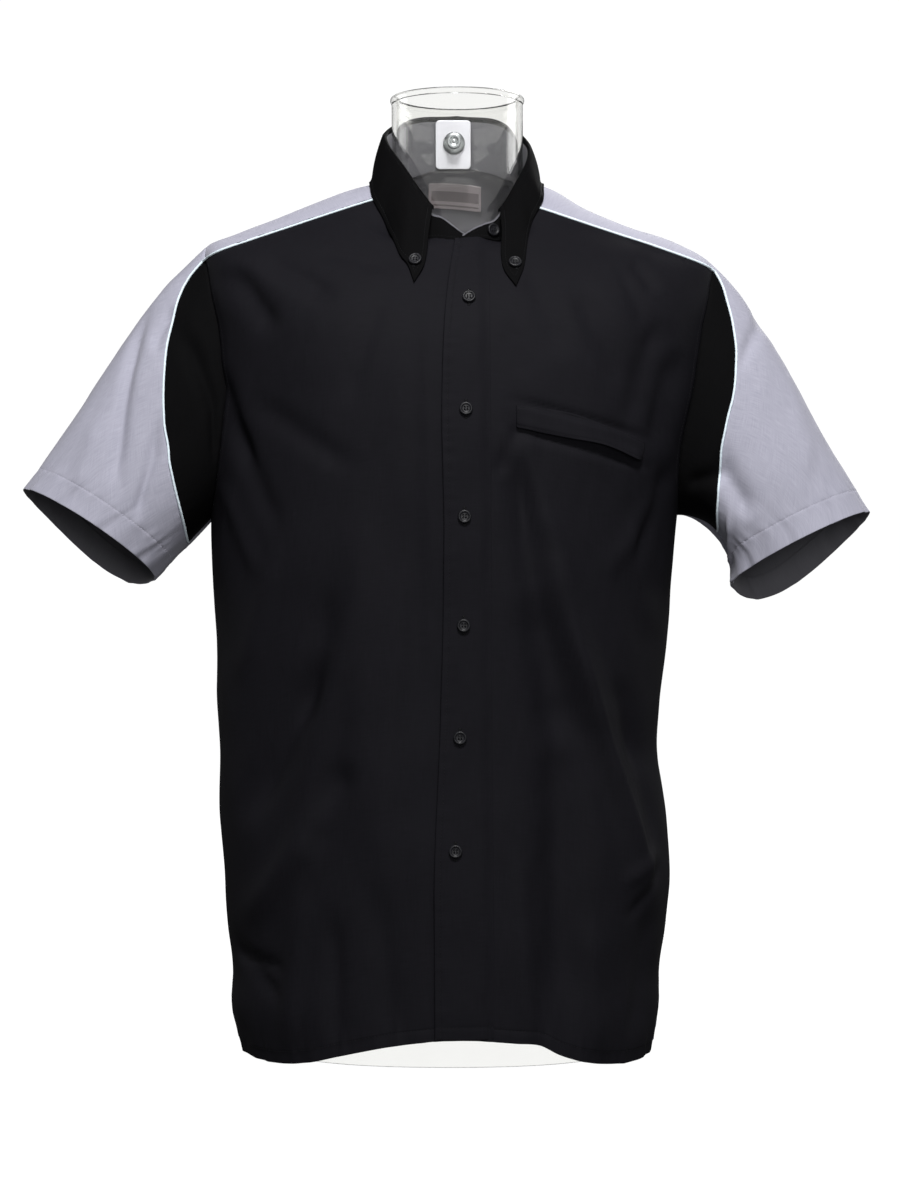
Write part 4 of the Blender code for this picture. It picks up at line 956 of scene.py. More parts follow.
@dataclass(frozen=True)
class ClothFinish(Finish):
    """Plain-woven cloth: a weave of two crossing waves, slubs along both threads, and
    slow changes of shade. The weave follows the piece's own UV map, in metres."""

    pale: Colour  # shade of the thicker threads
    roughness: float
    sheen: float
    specular: float
    mottle: float = 0.5
    weave: float = 0.42  # distance between threads, in millimetres
    relief: float = 0.05  # height of a thread, in millimetres

    def sockets(self, g: Graph, body: Any) -> dict[str, Any]:
        """The weave in bump, and slubs and slow shade in colour and roughness.

        Args:
            g: the graph.
            body: place on the object.

        Returns:
            The shader's sockets.
        """
        place = g.node("UVMap", {"uv_map": "cloth"}).outputs[0]
        parts = g.node("SeparateXYZ", None, Vector=place)
        across, up = Value(g, parts.outputs[0]), Value(g, parts.outputs[1])
        pitch = math.pi / (self.weave * MM)
        warp, weft = (across * pitch).sine(), (up * pitch).sine()
        threads = abs(warp) * abs(weft) * 0.6 + (warp * weft) * 0.4
        slub_up = g.noise(g.stretched(place, (1400.0, 46.0, 1.0)), 1.0, 2.0)
        slub_across = g.noise(g.stretched(place, (60.0, 1700.0, 1.0)), 1.0, 2.0)
        slow = g.noise(body, 9.0, 3.0)
        share = (slub_up * 0.5 + slub_across * 0.5 - 0.5) * (2.6 * self.mottle) + 0.5
        share = share + (slow - 0.5) * 0.35 + threads * 0.12
        colour = self.bordered(g, across, up, g.mix(g.share(share), self.colour, self.pale))
        rough = (slow - 0.5) * 0.12 + (slub_up - 0.5) * 0.16 + self.roughness
        lines = g.bump(threads, 0.35, self.relief * MM)
        soft = g.bump(slub_up * 0.6 + slub_across * 0.4, 0.22, 3 * self.relief * MM,
                      Normal=lines)
        return {"Base_Color": colour, "Roughness": rough, "Normal": soft,
                "Sheen_Weight": self.sheen, "Sheen_Roughness": 0.45,
                "Specular_IOR_Level": self.specular}

    def bordered(self, g: Graph, across: Value, up: Value, colour: Any) -> Any:
        """The cloth's colour, which a finish with a border changes near its edges."""
        return colour


@dataclass(frozen=True)
class LabelFinish(ClothFinish):
    """Satin label cloth with a pale woven border and a pale line across."""

    size: tuple[float, float] = (0.052, 0.022)
    border: float = 0.0030
    line_height: float = 0.3  # of the line across, as a share of the label's height
    line_width: float = 0.4  # a border's width less this much of it on each side
    brighter: float = 1.75

    def bordered(self, g: Graph, across: Value, up: Value, colour: Any) -> Any:
        """Colour that turns pale within the border's width of the nearest edge.

        Args:
            g: the graph.
            across, up: place on the flat label in metres.
            colour: the cloth's colour.

        Returns:
            The colour with its border.
        """
        wide, tall = self.size
        near = g.least(g.least(across, wide - across), g.least(up, tall - up))
        line = abs(up - self.line_height * tall)
        near = g.least(near, line + self.line_width * self.border)
        return g.mix(g.maths("LESS_THAN", near, self.border), colour,
                     tint(self.pale, self.brighter))


@dataclass(frozen=True)
class ThreadFinish(Finish):
    """Sewing thread: a fine twist in bump and a slight change of shade."""

    roughness: float = 0.55
    specular: float = 0.3

    def sockets(self, g: Graph, body: Any) -> dict[str, Any]:
        """The thread's twist and shade.

        Args:
            g: the graph.
            body: place on the object.

        Returns:
            The shader's sockets.
        """
        twist = g.noise(g.stretched(body, (1.0, 1.0, 1.6)), 2600.0, 1.0)
        shade = g.noise(body, 160.0, 2.0)
        return {"Base_Color": g.mix(shade, tint(self.colour, 0.8), tint(self.colour, 1.25)),
                "Roughness": (twist - 0.5) * 0.2 + self.roughness,
                "Normal": g.bump(twist, 0.4, 0.00006), "Specular_IOR_Level": self.specular}


@dataclass(frozen=True)
class ResinFinish(Finish):
    """Pearly button resin: swirls of two shades under a thin clear coat."""

    pearl: Colour
    roughness: float

    def sockets(self, g: Graph, body: Any) -> dict[str, Any]:
        """The swirls, bent by a slower noise, and fine scratches.

        Args:
            g: the graph.
            body: place on the object.

        Returns:
            The shader's sockets.
        """
        bend = g.node("TexNoise", None, Vector=body, Scale=90.0, Detail=2.0)
        swirl = g.noise(g.node("VectorMath", {"operation": "ADD"}, in_0=body,
                               in_1=g.stretched(bend.outputs[1], (0.01, 0.01, 0.01))
                               ).outputs[0], 420.0, 3.0)
        fine = g.noise(body, 1900.0, 2.0)
        return {"Base_Color": g.mix(g.share((swirl - 0.35) * 1.8), self.colour, self.pearl),
                "Roughness": (fine - 0.5) * 0.12 + self.roughness,
                "Normal": g.bump(fine, 0.12, 0.00004), "Coat_Weight": 0.03,
                "Coat_Roughness": 0.2, "Specular_IOR_Level": 0.2}


@dataclass(frozen=True)
class AcrylicFinish(Finish):
    """Clear moulded acrylic that bends light, with faint moulding waves and dust."""

    shade: Colour

    def sockets(self, g: Graph, body: Any) -> dict[str, Any]:
        """The waves and the dust.

        Args:
            g: the graph.
            body: place on the object.

        Returns:
            The shader's sockets.
        """
        waves = g.noise(g.stretched(body, (1.0, 1.0, 0.4)), 16.0, 2.0)
        dust = g.noise(body, 700.0, 3.0)
        return {"Base_Color": g.mix(waves, self.shade, self.colour),
                "Roughness": (dust - 0.5) * 0.03 + 0.02,
                "Normal": g.bump(waves, 0.3, 0.0012), "Transmission_Weight": 1.0,
                "IOR": 1.49}


@dataclass(frozen=True)
class MetalFinish(Finish):
    """Turned or brushed metal: fine lines in roughness and bump along one axis."""

    lines: tuple[float, float, float]
    roughness: float

    def sockets(self, g: Graph, body: Any) -> dict[str, Any]:
        """The lines, and smears in shade.

        Args:
            g: the graph.
            body: place on the object.

        Returns:
            The shader's sockets.
        """
        grain = g.noise(g.stretched(body, self.lines), 1.0, 3.0)
        smear = g.noise(body, 55.0, 3.0)
        rough = (grain - 0.5) * 0.3 + (smear - 0.5) * 0.15 + self.roughness
        return {"Base_Color": g.mix(smear, tint(self.colour, 0.72), self.colour),
                "Metallic": 1.0, "Roughness": rough, "Normal": g.bump(grain, 0.25, 0.00008)}


@dataclass(frozen=True)
class PlasterFinish(Finish):
    """The pale studio floor, with a trace of unevenness."""

    glow: float  # light of its own, which keeps it as pale far back as in front

    def sockets(self, g: Graph, body: Any) -> dict[str, Any]:
        """A slow cloud of shade, and the floor's own light.

        Args:
            g: the graph.
            body: place on the object.

        Returns:
            The shader's sockets.
        """
        shade = g.mix(g.noise(body, 1.3, 2.0), tint(self.colour, 0.985), self.colour)
        return {"Base_Color": shade, "Roughness": 0.9, "Specular_IOR_Level": 0.1,
                "Emission_Color": (1.0, 1.0, 1.0), "Emission_Strength": self.glow}


BLACK_CLOTH = ClothFinish("black_poplin", (0.0040, 0.0038, 0.0049),
                          (0.0090, 0.0086, 0.0113), 0.70, 0.0, 0.05)
# a darker copy of the black poplin: painted shade, for the sleeves' black panels and the
# collar
SHADED_BLACK_CLOTH = ClothFinish("black_poplin_deep", (0.0017, 0.0017, 0.0018),
                               (0.0041, 0.0040, 0.0044), 0.75, 0.0, 0.02)
GREY_CLOTH = ClothFinish("grey_poplin", (0.262, 0.262, 0.322), (0.385, 0.379, 0.448),
                         0.78, 0.12, 0.25, 0.9)
# the grey poplin darkened for inner faces: painted shade inside the shirt
GREY_SHADED_INSIDE = ClothFinish("grey_poplin_inside", (0.150, 0.148, 0.168),
                          (0.215, 0.211, 0.236), 0.82, 0.1, 0.2)
# the grey poplin darkened further: painted deep shade inside the collar band and the sleeves
GREY_DEEP_SHADED_INSIDE = ClothFinish("grey_poplin_band", (0.080, 0.079, 0.090),
                          (0.118, 0.116, 0.130), 0.82, 0.1, 0.2)
PIPING_CLOTH = ClothFinish("white_piping", (0.60, 0.70, 0.76), (0.72, 0.80, 0.86),
                           0.6, 0.1, 0.35, 0.4, 0.36)
# the label's pinkish grey tint is its own; how dark it is, is painted shade inside the neck
SHADED_LABEL_CLOTH = LabelFinish("label_satin", (0.215, 0.180, 0.196), (0.270, 0.238, 0.252),
                          0.5, 0.1, 0.4, 0.6, 0.3, 0.04)
BLACK_THREAD = ThreadFinish("black_thread", (0.0065, 0.0065, 0.0075), 0.6, 0.12)
GREY_THREAD = ThreadFinish("grey_thread", (0.44, 0.43, 0.50), 0.6)
BUTTON_RESIN = ResinFinish("dark_pearl_resin", (0.004, 0.004, 0.005), (0.016, 0.016, 0.020),
                           0.42)
CLEAR_ACRYLIC = AcrylicFinish("clear_acrylic", (0.950, 0.950, 0.934), (0.900, 0.902, 0.880))
PLATE_METAL = MetalFinish("brushed_plate", (0.46, 0.46, 0.49), (900.0, 900.0, 14.0), 0.5)
KNOB_METAL = MetalFinish("turned_knob", (0.40, 0.42, 0.43), (40.0, 900.0, 40.0), 0.3)
STUDIO_FLOOR = PlasterFinish("studio_floor", (0.12, 0.12, 0.12), 1.0)


# --------------------------------------------------------------- cloth as grids

@dataclass
class Sheet:
    """A grid of points with outward directions and a thickness on both sides."""

    middle: Array
    away: Array
    out: Array
    back: Array

    @classmethod
    def over(cls, middle: Array, outside: Array, half: float) -> "Sheet":
        """Sheet on a grid. Normals are the cross product of the differences across and
        up, turned to the side that outside points to.

        Args:
            middle: the grid of points.
            outside: a rough outward direction for each point, or one for all.
            half: half the thickness.

        Returns:
            The sheet.
        """
        away = unit(np.cross(np.gradient(middle, axis=1), np.gradient(middle, axis=0)))
        if np.sum(away * outside) < 0:
            away = -away
        wall = np.full(middle.shape[:2], half)
        return cls(middle.copy(), away, wall.copy(), wall.copy())

    def reach(self, edge: Edge) -> Array:
        """Distance of each point from an edge, summed along its grid line.

        Args:
            edge: the edge.

        Returns:
            The distances.
        """
        axis = 1 if edge in BOTH_ENDS else 0
        steps = np.linalg.norm(np.diff(self.middle, axis=axis), axis=-1)
        total = np.insert(np.cumsum(steps, axis=axis), 0, 0.0, axis=axis)
        if edge in (Edge.END, Edge.HIGH):
            total = np.take(total, [-1], axis=axis) - total
        return total

    def beside(self, edge: Edge) -> Array:
        """Distance of each point along an edge."""
        return self.reach(Edge.LOW if edge in BOTH_ENDS else Edge.START)

    def move(self, height: Array) -> "Sheet":
        """Move the points out by a height."""
        self.middle = self.middle + self.away * height[..., None]
        return self

    def groove(self, edge: Edge, distance: float, depth: Any = 0.22,
               width: float = 0.7) -> "Sheet":
        """Press a line of stitching into the cloth: a bell at a distance."""
        return self.move(-depth * bell(self.reach(edge) - distance, width))

    def dip(self, edge: Edge, depth: Any = 0.8, width: float = 1.2) -> "Sheet":
        """Turn an edge down into its seam: a half bell of this depth."""
        return self.groove(edge, 0.0, depth, width)

    def pucker(self, edge: Edge, distance: float = 0.0, height: float = 0.22,
               pitch: float = 8.0, spread: float = 6.0) -> "Sheet":
        """Gather a sewn edge a little: an uneven sine wave along it that dies away.

        Args:
            edge: the edge that it runs along.
            distance: where it is highest.
            height, pitch: the wave's size.
            spread: how fast it dies away.

        Returns:
            This sheet.
        """
        s = self.beside(edge)
        wave = np.sin(2 * math.pi * s / pitch + 1.9 * np.sin(2 * math.pi * s / 43.0))
        fade = np.exp(-np.abs(self.reach(edge) - distance) / spread)
        return self.move(height * wave * fade)

    def seam(self, edges: Sequence[Edge], depth: float, height: float,
             pitch: float = 8.0) -> "Sheet":
        """Turn edges down into their seams and gather them.

        Args:
            edges: the edges.
            depth: how far they turn down.
            height, pitch: size of the gathers.

        Returns:
            This sheet.
        """
        for edge in edges:
            self.dip(edge, depth).pucker(edge, 1.0, height, pitch)
        return self

    def hem(self, edge: Edge, width: float, extra: float = 0.55) -> "Sheet":
        """Double the cloth inside an edge, as a turned hem.

        Args:
            edge: the edge.
            width: how far in the hem reaches.
            extra: thickness that it adds inside.

        Returns:
            This sheet.
        """
        near = 1 - smooth(self.reach(edge), width - 0.4, width + 0.5)
        self.back = self.back + extra * near
        return self

    def allowance(self, edges: Sequence[Edge]) -> "Sheet":
        """Double the cloth inside sewn edges, as the seam's turned-in edges do.

        Args:
            edges: the edges.

        Returns:
            This sheet.
        """
        for edge in edges:
            self.hem(edge, 8.0, 0.9)
        return self

    def rounded(self, edges: Sequence[Edge], radius: float = 0.6) -> "Sheet":
        """Thin the walls to a round edge, as a circle does.

        Args:
            edges: the edges.
            radius: of the circle.

        Returns:
            This sheet.
        """
        for edge in edges:
            t = 1 - np.clip(self.reach(edge) / radius, 0, 1)
            thin = np.maximum(np.sqrt(np.maximum(1 - t * t, 0)), 0.2)
            self.out, self.back = self.out * thin, self.back * thin
        return self

    def line(self, edge: Edge, distance: float,
             trim: tuple[float, float] = (0, 0)) -> tuple[Array, Array]:
        """The line at a distance from an edge, on the sheet's face.

        Args:
            edge: where the distance is measured from.
            distance: how far in the line lies.
            trim: how much of the line to leave out at its two ends.

        Returns:
            The line's points, and the outward directions there.
        """
        reach, away = self.reach(edge), self.away
        grid = self.middle + away * self.out[..., None]
        if edge in (Edge.LOW, Edge.HIGH):
            reach, grid, away = reach.T, grid.swapaxes(0, 1), away.swapaxes(0, 1)
        if edge in (Edge.END, Edge.HIGH):
            reach, grid, away = reach[:, ::-1], grid[:, ::-1], away[:, ::-1]
        keep = reach[:, -1] > distance
        reach, grid, away = reach[keep], grid[keep], away[keep]
        k = np.clip(np.sum(reach < distance, axis=1), 1, reach.shape[1] - 1)
        row = np.arange(len(reach))
        t = ((distance - reach[row, k - 1]) / (reach[row, k] - reach[row, k - 1]))[:, None]
        path = grid[row, k - 1] * (1 - t) + grid[row, k] * t
        ups = unit(away[row, k - 1] * (1 - t) + away[row, k] * t)
        run = travelled(path)
        inner = (run >= trim[0]) & (run <= run[-1] - trim[1])
        return path[inner], ups[inner]

    def area(self) -> float:
        """Area of the middle surface: the sum of its cells' cross products.

        Returns:
            The area in square metres.
        """
        across = np.diff(self.middle, axis=1)[:-1]
        up = np.diff(self.middle, axis=0)[:, :-1]
        return float(np.linalg.norm(np.cross(across, up), axis=-1).sum()) * MM * MM

    def mesh(self, around: bool = False) -> tuple[Array, list[Array], Array]:
        """Points, faces and flat places of the closed shell: the outer face, the inner
        face turned round, and a strip along each open edge.

        Args:
            around: join the last column to the first.

        Returns:
            Points, faces, and places on the flat cloth in metres.
        """
        rows, cols = self.middle.shape[:2]
        outer = self.middle + self.away * self.out[..., None]
        inner = self.middle - self.away * self.back[..., None]
        points = np.concatenate([outer.reshape(-1, 3), inner.reshape(-1, 3)])
        ids = np.arange(rows * cols).reshape(rows, cols)
        if around:
            ids = np.concatenate([ids, ids[:, :1]], axis=1)
        sheet = np.stack([ids[:-1, :-1], ids[:-1, 1:], ids[1:, 1:], ids[1:, :-1]],
                         -1).reshape(-1, 4)
        size = rows * cols
        edges = [ids[0], ids[-1][::-1]]
        if not around:
            edges += [ids[:, -1], ids[:, 0][::-1]]
        rims = [np.stack([e[:-1], e[:-1] + size, e[1:] + size, e[1:]], -1) for e in edges]
        faces = [np.concatenate([sheet, sheet[:, ::-1] + size, *rims])]
        flat = np.stack([self.reach(Edge.START), self.reach(Edge.LOW)], -1) * MM
        flat = flat.reshape(-1, 2)
        return points, faces, np.concatenate([flat, flat])


class Wardrobe:
    """Makes each finish once and adds pieces to the scene."""

    def __init__(self) -> None:
        """Start with no materials made."""
        self.made: dict[str, bpy.types.Material] = {}

    def material(self, finish: Finish) -> bpy.types.Material:
        """The finish's material, built on first use.

        Args:
            finish: the finish.

        Returns:
            Its material.
        """
        if finish.name not in self.made:
            self.made[finish.name] = finish.make()
        return self.made[finish.name]

    def add(self, name: str, points: Array, faces: Sequence[Array], finish: Finish,
            slot: str, nodes: Sequence[str] = (), flat: Optional[Array] = None,
            sharp: float = 60.0, inside: Optional[Finish] = None) -> bpy.types.Object:
        """Make a closed mesh, dress it, and tie it to the frame.

        Args:
            name: the piece's name.
            points: its points in millimetres.
            faces: arrays of point numbers, each array with faces of one size.
            finish: what it is made of.
            slot: not used.
            nodes: solids that it stands for.
            flat: the points' places on the flat cloth in metres, for the weave.
            sharp: angle in degrees past which an edge is sharp.
            inside: finish of a sheet's inner face, which has the second half of the points.

        Returns:
            The piece.
        """
        placed = (points - CENTRE) * MM
        first = np.concatenate([np.stack([f[:, 0], f[:, i], f[:, i + 1]], -1)
                                for f in faces for i in range(1, f.shape[1] - 1)])
        a, b, c = (placed[first[:, i]] for i in range(3))
        if np.sum(a * np.cross(b, c)) < 0:
            faces = [f[:, ::-1] for f in faces]
        mesh = bpy.data.meshes.new(name)
        listed = [row for f in faces for row in f.tolist()]
        mesh.from_pydata(placed.tolist(), [], listed)
        if flat is not None:
            layer = mesh.uv_layers.new(name="cloth")
            index = np.empty(len(mesh.loops), dtype=np.int32)
            mesh.loops.foreach_get("vertex_index", index)
            layer.data.foreach_set("uv", flat[index].astype(np.float32).ravel())
        mesh.shade_smooth()
        mesh.set_sharp_from_angle(angle=math.radians(sharp))
        mesh.materials.append(self.material(finish))
        # the inner face gets a second, darker finish: painted shade
        if inside is not None:
            mesh.materials.append(self.material(inside))
            lowest = np.array([min(row) for row in listed])
            mesh.polygons.foreach_set("material_index",
                                      (lowest >= len(points) // 2).astype(np.int32))
        piece = bpy.data.objects.new(name, mesh)
        bpy.context.scene.collection.objects.link(piece)
        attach(piece, "root")
        if nodes:
            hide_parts(*nodes)
        log.info("%s: %d points, %d faces", name, len(points), len(listed))
        return piece

    def sew(self, node: str, sheet: Sheet, finish: Finish, slot: str, held: str,
            rests_on: Sequence[str], hem: float = 0.0, name: str = "",
            inside: Optional[Finish] = None) -> None:
        """Add a sheet of cloth as a piece; the size and area of what shows of it are worked
        out but not used.

        Args:
            node: the solid that it stands for, if any.
            sheet: the cloth.
            finish, slot: what it is made of, and the record's slot for that.
            held: not used.
            rests_on: not used.
            hem: width of the cloth turned up inside, in millimetres.
            name: the piece's name, if it isn't the node's.
            inside: finish of the inner face.
        """
        points, faces, flat = sheet.mesh()
        piece = self.add(name or f"{node}_cloth", points, faces, finish, slot,
                         (node,) if node else (), flat, inside=inside)
        wide = float(sheet.reach(Edge.START)[:, -1].max()) * MM
        long = float(sheet.reach(Edge.LOW)[-1].max()) * MM + hem * MM
        area = min(sheet.area() + wide * hem * MM * 0.8, wide * long)


@dataclass
class Sewing:
    """Stitches gathered for one piece: each is a short thread that bows up a little."""

    radius: float = 0.2
    sides: int = 6
    starts: list[Array] = field(default_factory=list)
    ends: list[Array] = field(default_factory=list)
    ups: list[Array] = field(default_factory=list)

    def run(self, line: tuple[Array, Array], pitch: float = 2.9,
            length: float = 2.2) -> "Sewing":
        """Sew along a line: one stitch every pitch millimetres.

        Args:
            line: points and outward directions.
            pitch: from one stitch's middle to the next.
            length: a stitch's length.

        Returns:
            This sewing.
        """
        path, ups = line
        if len(path) < 2:
            return self
        s = travelled(path)
        middles = np.arange(pitch / 2, s[-1], pitch)
        return self.bars(at_distance(path, s, middles - length / 2),
                         at_distance(path, s, middles + length / 2),
                         unit(at_distance(ups, s, middles)))

    def bars(self, starts: Array, ends: Array, ups: Array) -> "Sewing":
        """Add threads from starts to ends, which bow up.

        Args:
            starts, ends, ups: a row for each thread.

        Returns:
            This sewing.
        """
        self.starts.append(starts)
        self.ends.append(ends)
        self.ups.append(ups)
        return self

    def buttonhole(self, middle: Array, up: Array, run: Array, half: float = 7.6,
                   wide: float = 1.25) -> "Sewing":
        """Work a buttonhole: threads side by side across both lips, and a bar at each
        end.

        Args:
            middle: its middle on the cloth.
            up: outward direction.
            run: direction of the slit.
            half: half its length.
            wide: width of one lip.

        Returns:
            This sewing.
        """
        side = unit(np.cross(up, run))
        s = np.arange(-half, half, 0.42)[:, None]
        for way in (-1, 1):
            starts = middle + run * s + side * way * 0.12
            self.bars(starts, starts + side * way * wide, np.broadcast_to(up, starts.shape))
        for end in (-half, half):
            t = np.linspace(-0.5, 0.5, 4)[:, None]
            starts = middle + run * (end + t) - side * (wide + 0.2) + up * 0.12
            self.bars(starts, starts + side * (2 * wide + 0.4),
                      np.broadcast_to(up, starts.shape))
        return self

    def make(self, wardrobe: Wardrobe, name: str, finish: Finish, slot: str) -> None:
        """Make all stitches as one piece: three rings of points for each, thin at both
        ends and highest in the middle.

        Args:
            wardrobe: what adds the piece.
            name: the piece's name.
            finish, slot: what it is made of, and the record's slot for that.
        """
        starts, ends = np.concatenate(self.starts), np.concatenate(self.ends)
        ups = np.concatenate(self.ups)
        run = unit(ends - starts)
        side = unit(np.cross(ups, run))
        up = np.cross(run, side)
        turn = circle(self.sides)[:, None]
        rings = []
        for share, swell, lift in ((0.0, 0.55, -0.5), (0.5, 1.0, 0.45), (1.0, 0.55, -0.5)):
            centre = starts + (ends - starts) * share + up * (self.radius * lift)
            ring = centre[:, None] + self.radius * swell * (
                np.cos(turn) * side[:, None] + np.sin(turn) * up[:, None])
            rings.append(ring)
        points = np.stack(rings, 1).reshape(-1, 3)
        n = self.sides
        base = (np.arange(len(starts)) * 3 * n)[:, None, None]
        k = np.arange(n)
        quad = np.stack([k, (k + 1) % n, (k + 1) % n + n, k + n], -1)
        quads = np.concatenate([(base + quad).reshape(-1, 4),
                                (base + quad + n).reshape(-1, 4)])
        caps = np.concatenate([base[:, 0] + k[::-1], base[:, 0] + 2 * n + k])
        wardrobe.add(name, points, [quads, caps], finish, slot, sharp=180.0)


# --------------------------------------------------------------------- the body

AXIS = np.array([3.0, 0.0, 0.0])  # the body's upright axis


def on_body(angle: Array, level: Array, half: float, lean: float = 0.0) -> Sheet:
    """Sheet on places of the bust; it faces away from the upright axis, and up by lean."""
    middle = BODY.point(angle, level)
    return Sheet.over(middle, (middle - AXIS) * (1.0, 1.0, 0.0) + (0, 0, lean), half)


@dataclass
class BodyPanels:
    """The two fronts, the back and the yoke. Each is a patch of the bust between its
    seams, blended in angle and level. Places across and up are counted in the columns
    and rows of the frame's own coarse grid."""

    wardrobe: Wardrobe
    sleeves: dict[int, Sleeve]
    half_wall: float = 0.42
    hem_width: float = 11.0
    low_rows: int = 14  # up to the underarm
    high_rows: int = 14  # from there to the fronts' top
    back_rows: int = 9  # from there to the back's top
    row_mm: float = 32.5  # height of a row
    seam_cols: int = 8  # columns of a front that end at the yoke's seam
    arm_cols: int = 7  # columns of the yoke along one armhole
    back_cols: int = 20
    under_placket: float = 1.5  # from a front's edge to the placket's
    sewing: Sewing = field(default_factory=Sewing)
    grey_sewing: Sewing = field(default_factory=Sewing)

    def hem_level(self, angle: Array, table: Table) -> Array:
        """Level of the hem at each angle."""
        return read(table, BODY.plain(angle, 12.0)[..., 0])

    def side_seam(self, sign: int, low: float, row: Array, spread: float) -> Array:
        """The side seam from the hem to the underarm, swung round below the vent.

        Args:
            sign: -1 for the wearer's right.
            low: level of the hem.
            row: the rows.
            spread: degrees of swing at the hem.

        Returns:
            Angle and level of each row.
        """
        level = low + (UNDERARM_LEVEL - low) * row / self.low_rows
        swing = spread * (1 - smooth(level, 5.0, VENT_TOP)) ** 0.8
        return pairs(sign * (SIDE_ANGLE - swing), level)

    def front_edge(self, row: Array, hem: float, top: float = NECK_LEVEL) -> Array:
        """Level of the rows at the front edge.

        Args:
            row: the rows.
            hem, top: levels of the first and the last.

        Returns:
            Their levels.
        """
        low = hem + (UNDERARM_LEVEL - hem) * row / self.low_rows
        high = UNDERARM_LEVEL + (top - UNDERARM_LEVEL) * (row - self.low_rows) / self.high_rows
        return np.where(row <= self.low_rows, low, high)

    def edge_angle(self, level: Array) -> Array:
        """Angle of the front edge, which lies under the placket."""
        z = curve(level, RING["level"], RING["z_front"])
        return BODY.angle_at(read(PLACKET_RIGHT, z) - self.under_placket, level)

    def front(self, name: str, sign: int, neck_cols: int, width: float, cells: int) -> None:
        """One front, from the hem to the yoke's seam and the neck.

        Args:
            name: the solid's name.
            sign: -1 for the wearer's right.
            neck_cols: how many columns end at the neck.
            width, cells: usual width in millimetres, and even cells across.
        """
        sleeve = self.sleeves[sign]
        cols, total = neck_cols + self.seam_cols, self.low_rows + self.high_rows
        near = (*HEM_LINES, *around_line(self.hem_width))
        row = stops(total * self.row_mm, 190, near, SEAM_LINES) * total
        far = SEAM_LINES + STITCH_LINES + (8.4, 9.0, 9.6)
        col = np.unique(np.append(stops(width, cells, (), far) * cols, neck_cols))
        lower, upper = row[row <= self.low_rows], row[row > self.low_rows]

        corner = sign * (SIDE_ANGLE - VENT_SPREAD_FRONT)
        first = float(self.edge_angle(np.array(HEM_MIDDLE[1], float)))
        hem_angle = first + (corner - first) * col / cols
        low = pairs(hem_angle, self.hem_level(hem_angle, HEM_FRONT))
        level = self.front_edge(row, low[0, 1])
        start = pairs(self.edge_angle(level), level)
        low[0] = start[0]
        turn = sleeve.front_turn((upper - self.low_rows) / self.high_rows)
        end = np.concatenate([self.side_seam(sign, low[-1, 1], lower, VENT_SPREAD_FRONT),
                              pairs(*sleeve.seam(turn))])
        low[-1] = end[0]
        neck = col[col < neck_cols]
        neck_angle = start[-1, 0] + (sign * sleeve.side["yoke_neck_angle"]
                                     - start[-1, 0]) * neck / neck_cols
        seam = yoke_seam(sleeve, (col[col >= neck_cols] - neck_cols) / self.seam_cols)
        high = np.concatenate([pairs(neck_angle, NECK_LEVEL), seam])
        grid = patch(low, high, start, end, col / cols, row / row[-1])

        sheet = on_body(grid[..., 0], grid[..., 1], self.half_wall)
        sheet.dip(Edge.END, 0.55, 1.6).pucker(Edge.END, 1.0, 0.14, 13.0)
        sheet.dip(Edge.HIGH, 0.9 * smooth(col, neck_cols - 0.5, neck_cols + 0.3)[None])
        sheet.pucker(Edge.HIGH, 1.0, 0.22, 9.0)
        if sign < 0:
            self.trough(sheet)
        sheet.groove(Edge.END, TOPSTITCH).groove(Edge.LOW, self.hem_width, 0.3)
        sheet.allowance((Edge.END, Edge.HIGH)).pucker(Edge.LOW, 0.0, 0.7, 61.0, 30.0)
        sheet.pucker(Edge.LOW, self.hem_width, 0.35, 13.0, 7.0)
        sheet.hem(Edge.LOW, self.hem_width).rounded((Edge.LOW, Edge.START))
        self.sewing.run(sheet.line(Edge.LOW, self.hem_width, (2, 1)))
        self.sewing.run(sheet.line(Edge.END, TOPSTITCH, (8, 6)))
        self.wardrobe.sew(name, sheet, BLACK_CLOTH, "black_cloth", "draped",
                          ("dress_form_acrylic",), self.hem_width)

    def trough(self, sheet: Sheet) -> None:
        """Sink the under front beside the placket's free edge, up to the last button: a
        bell of this width and depth.

        Args:
            sheet: the under front.
        """
        width, depth, fade = 3.6, 2.4, (680.0, 708.0)
        x, z = sheet.middle[..., 0], sheet.middle[..., 2]
        below = 1 - smooth(z, *fade)
        sheet.move(-depth * below * bell(x - read(PLACKET_LEFT, z) + width, width))

    def back(self) -> None:
        """The back, from the hem to the yoke's back seam."""
        cols, total = self.back_cols, self.low_rows + self.back_rows
        extra = SEAM_LINES + STITCH_LINES
        near = (*HEM_LINES, *around_line(self.hem_width))
        row = stops(total * 32.0, 165, near, extra) * total
        row = np.unique(np.append(row, self.low_rows))
        col = stops(480.0, 140, extra, extra) * cols
        edge = SIDE_ANGLE - VENT_SPREAD_BACK
        hem_angle = edge + (360 - 2 * edge) * col / cols
        low = pairs(hem_angle, self.hem_level(hem_angle, HEM_BACK))
        lower, upper = row[row <= self.low_rows], row[row > self.low_rows]
        turn = 270 - (270 - BACK_CORNER) * (upper - self.low_rows) / self.back_rows
        sides = []
        for sleeve in (self.sleeves[1], self.sleeves[-1]):
            seam = self.side_seam(sleeve.sign, low[0, 1], lower, VENT_SPREAD_BACK)
            sides.append(np.concatenate([seam, pairs(*sleeve.seam(turn))]))
            sides[-1][:, 0] %= 360
        share = (col / cols)[:, None]
        high = sides[0][-1] * (1 - share) + sides[1][-1] * share
        low[0], low[-1] = sides[0][0], sides[1][0]
        grid = patch(low, high, *sides, col / cols, row / total)

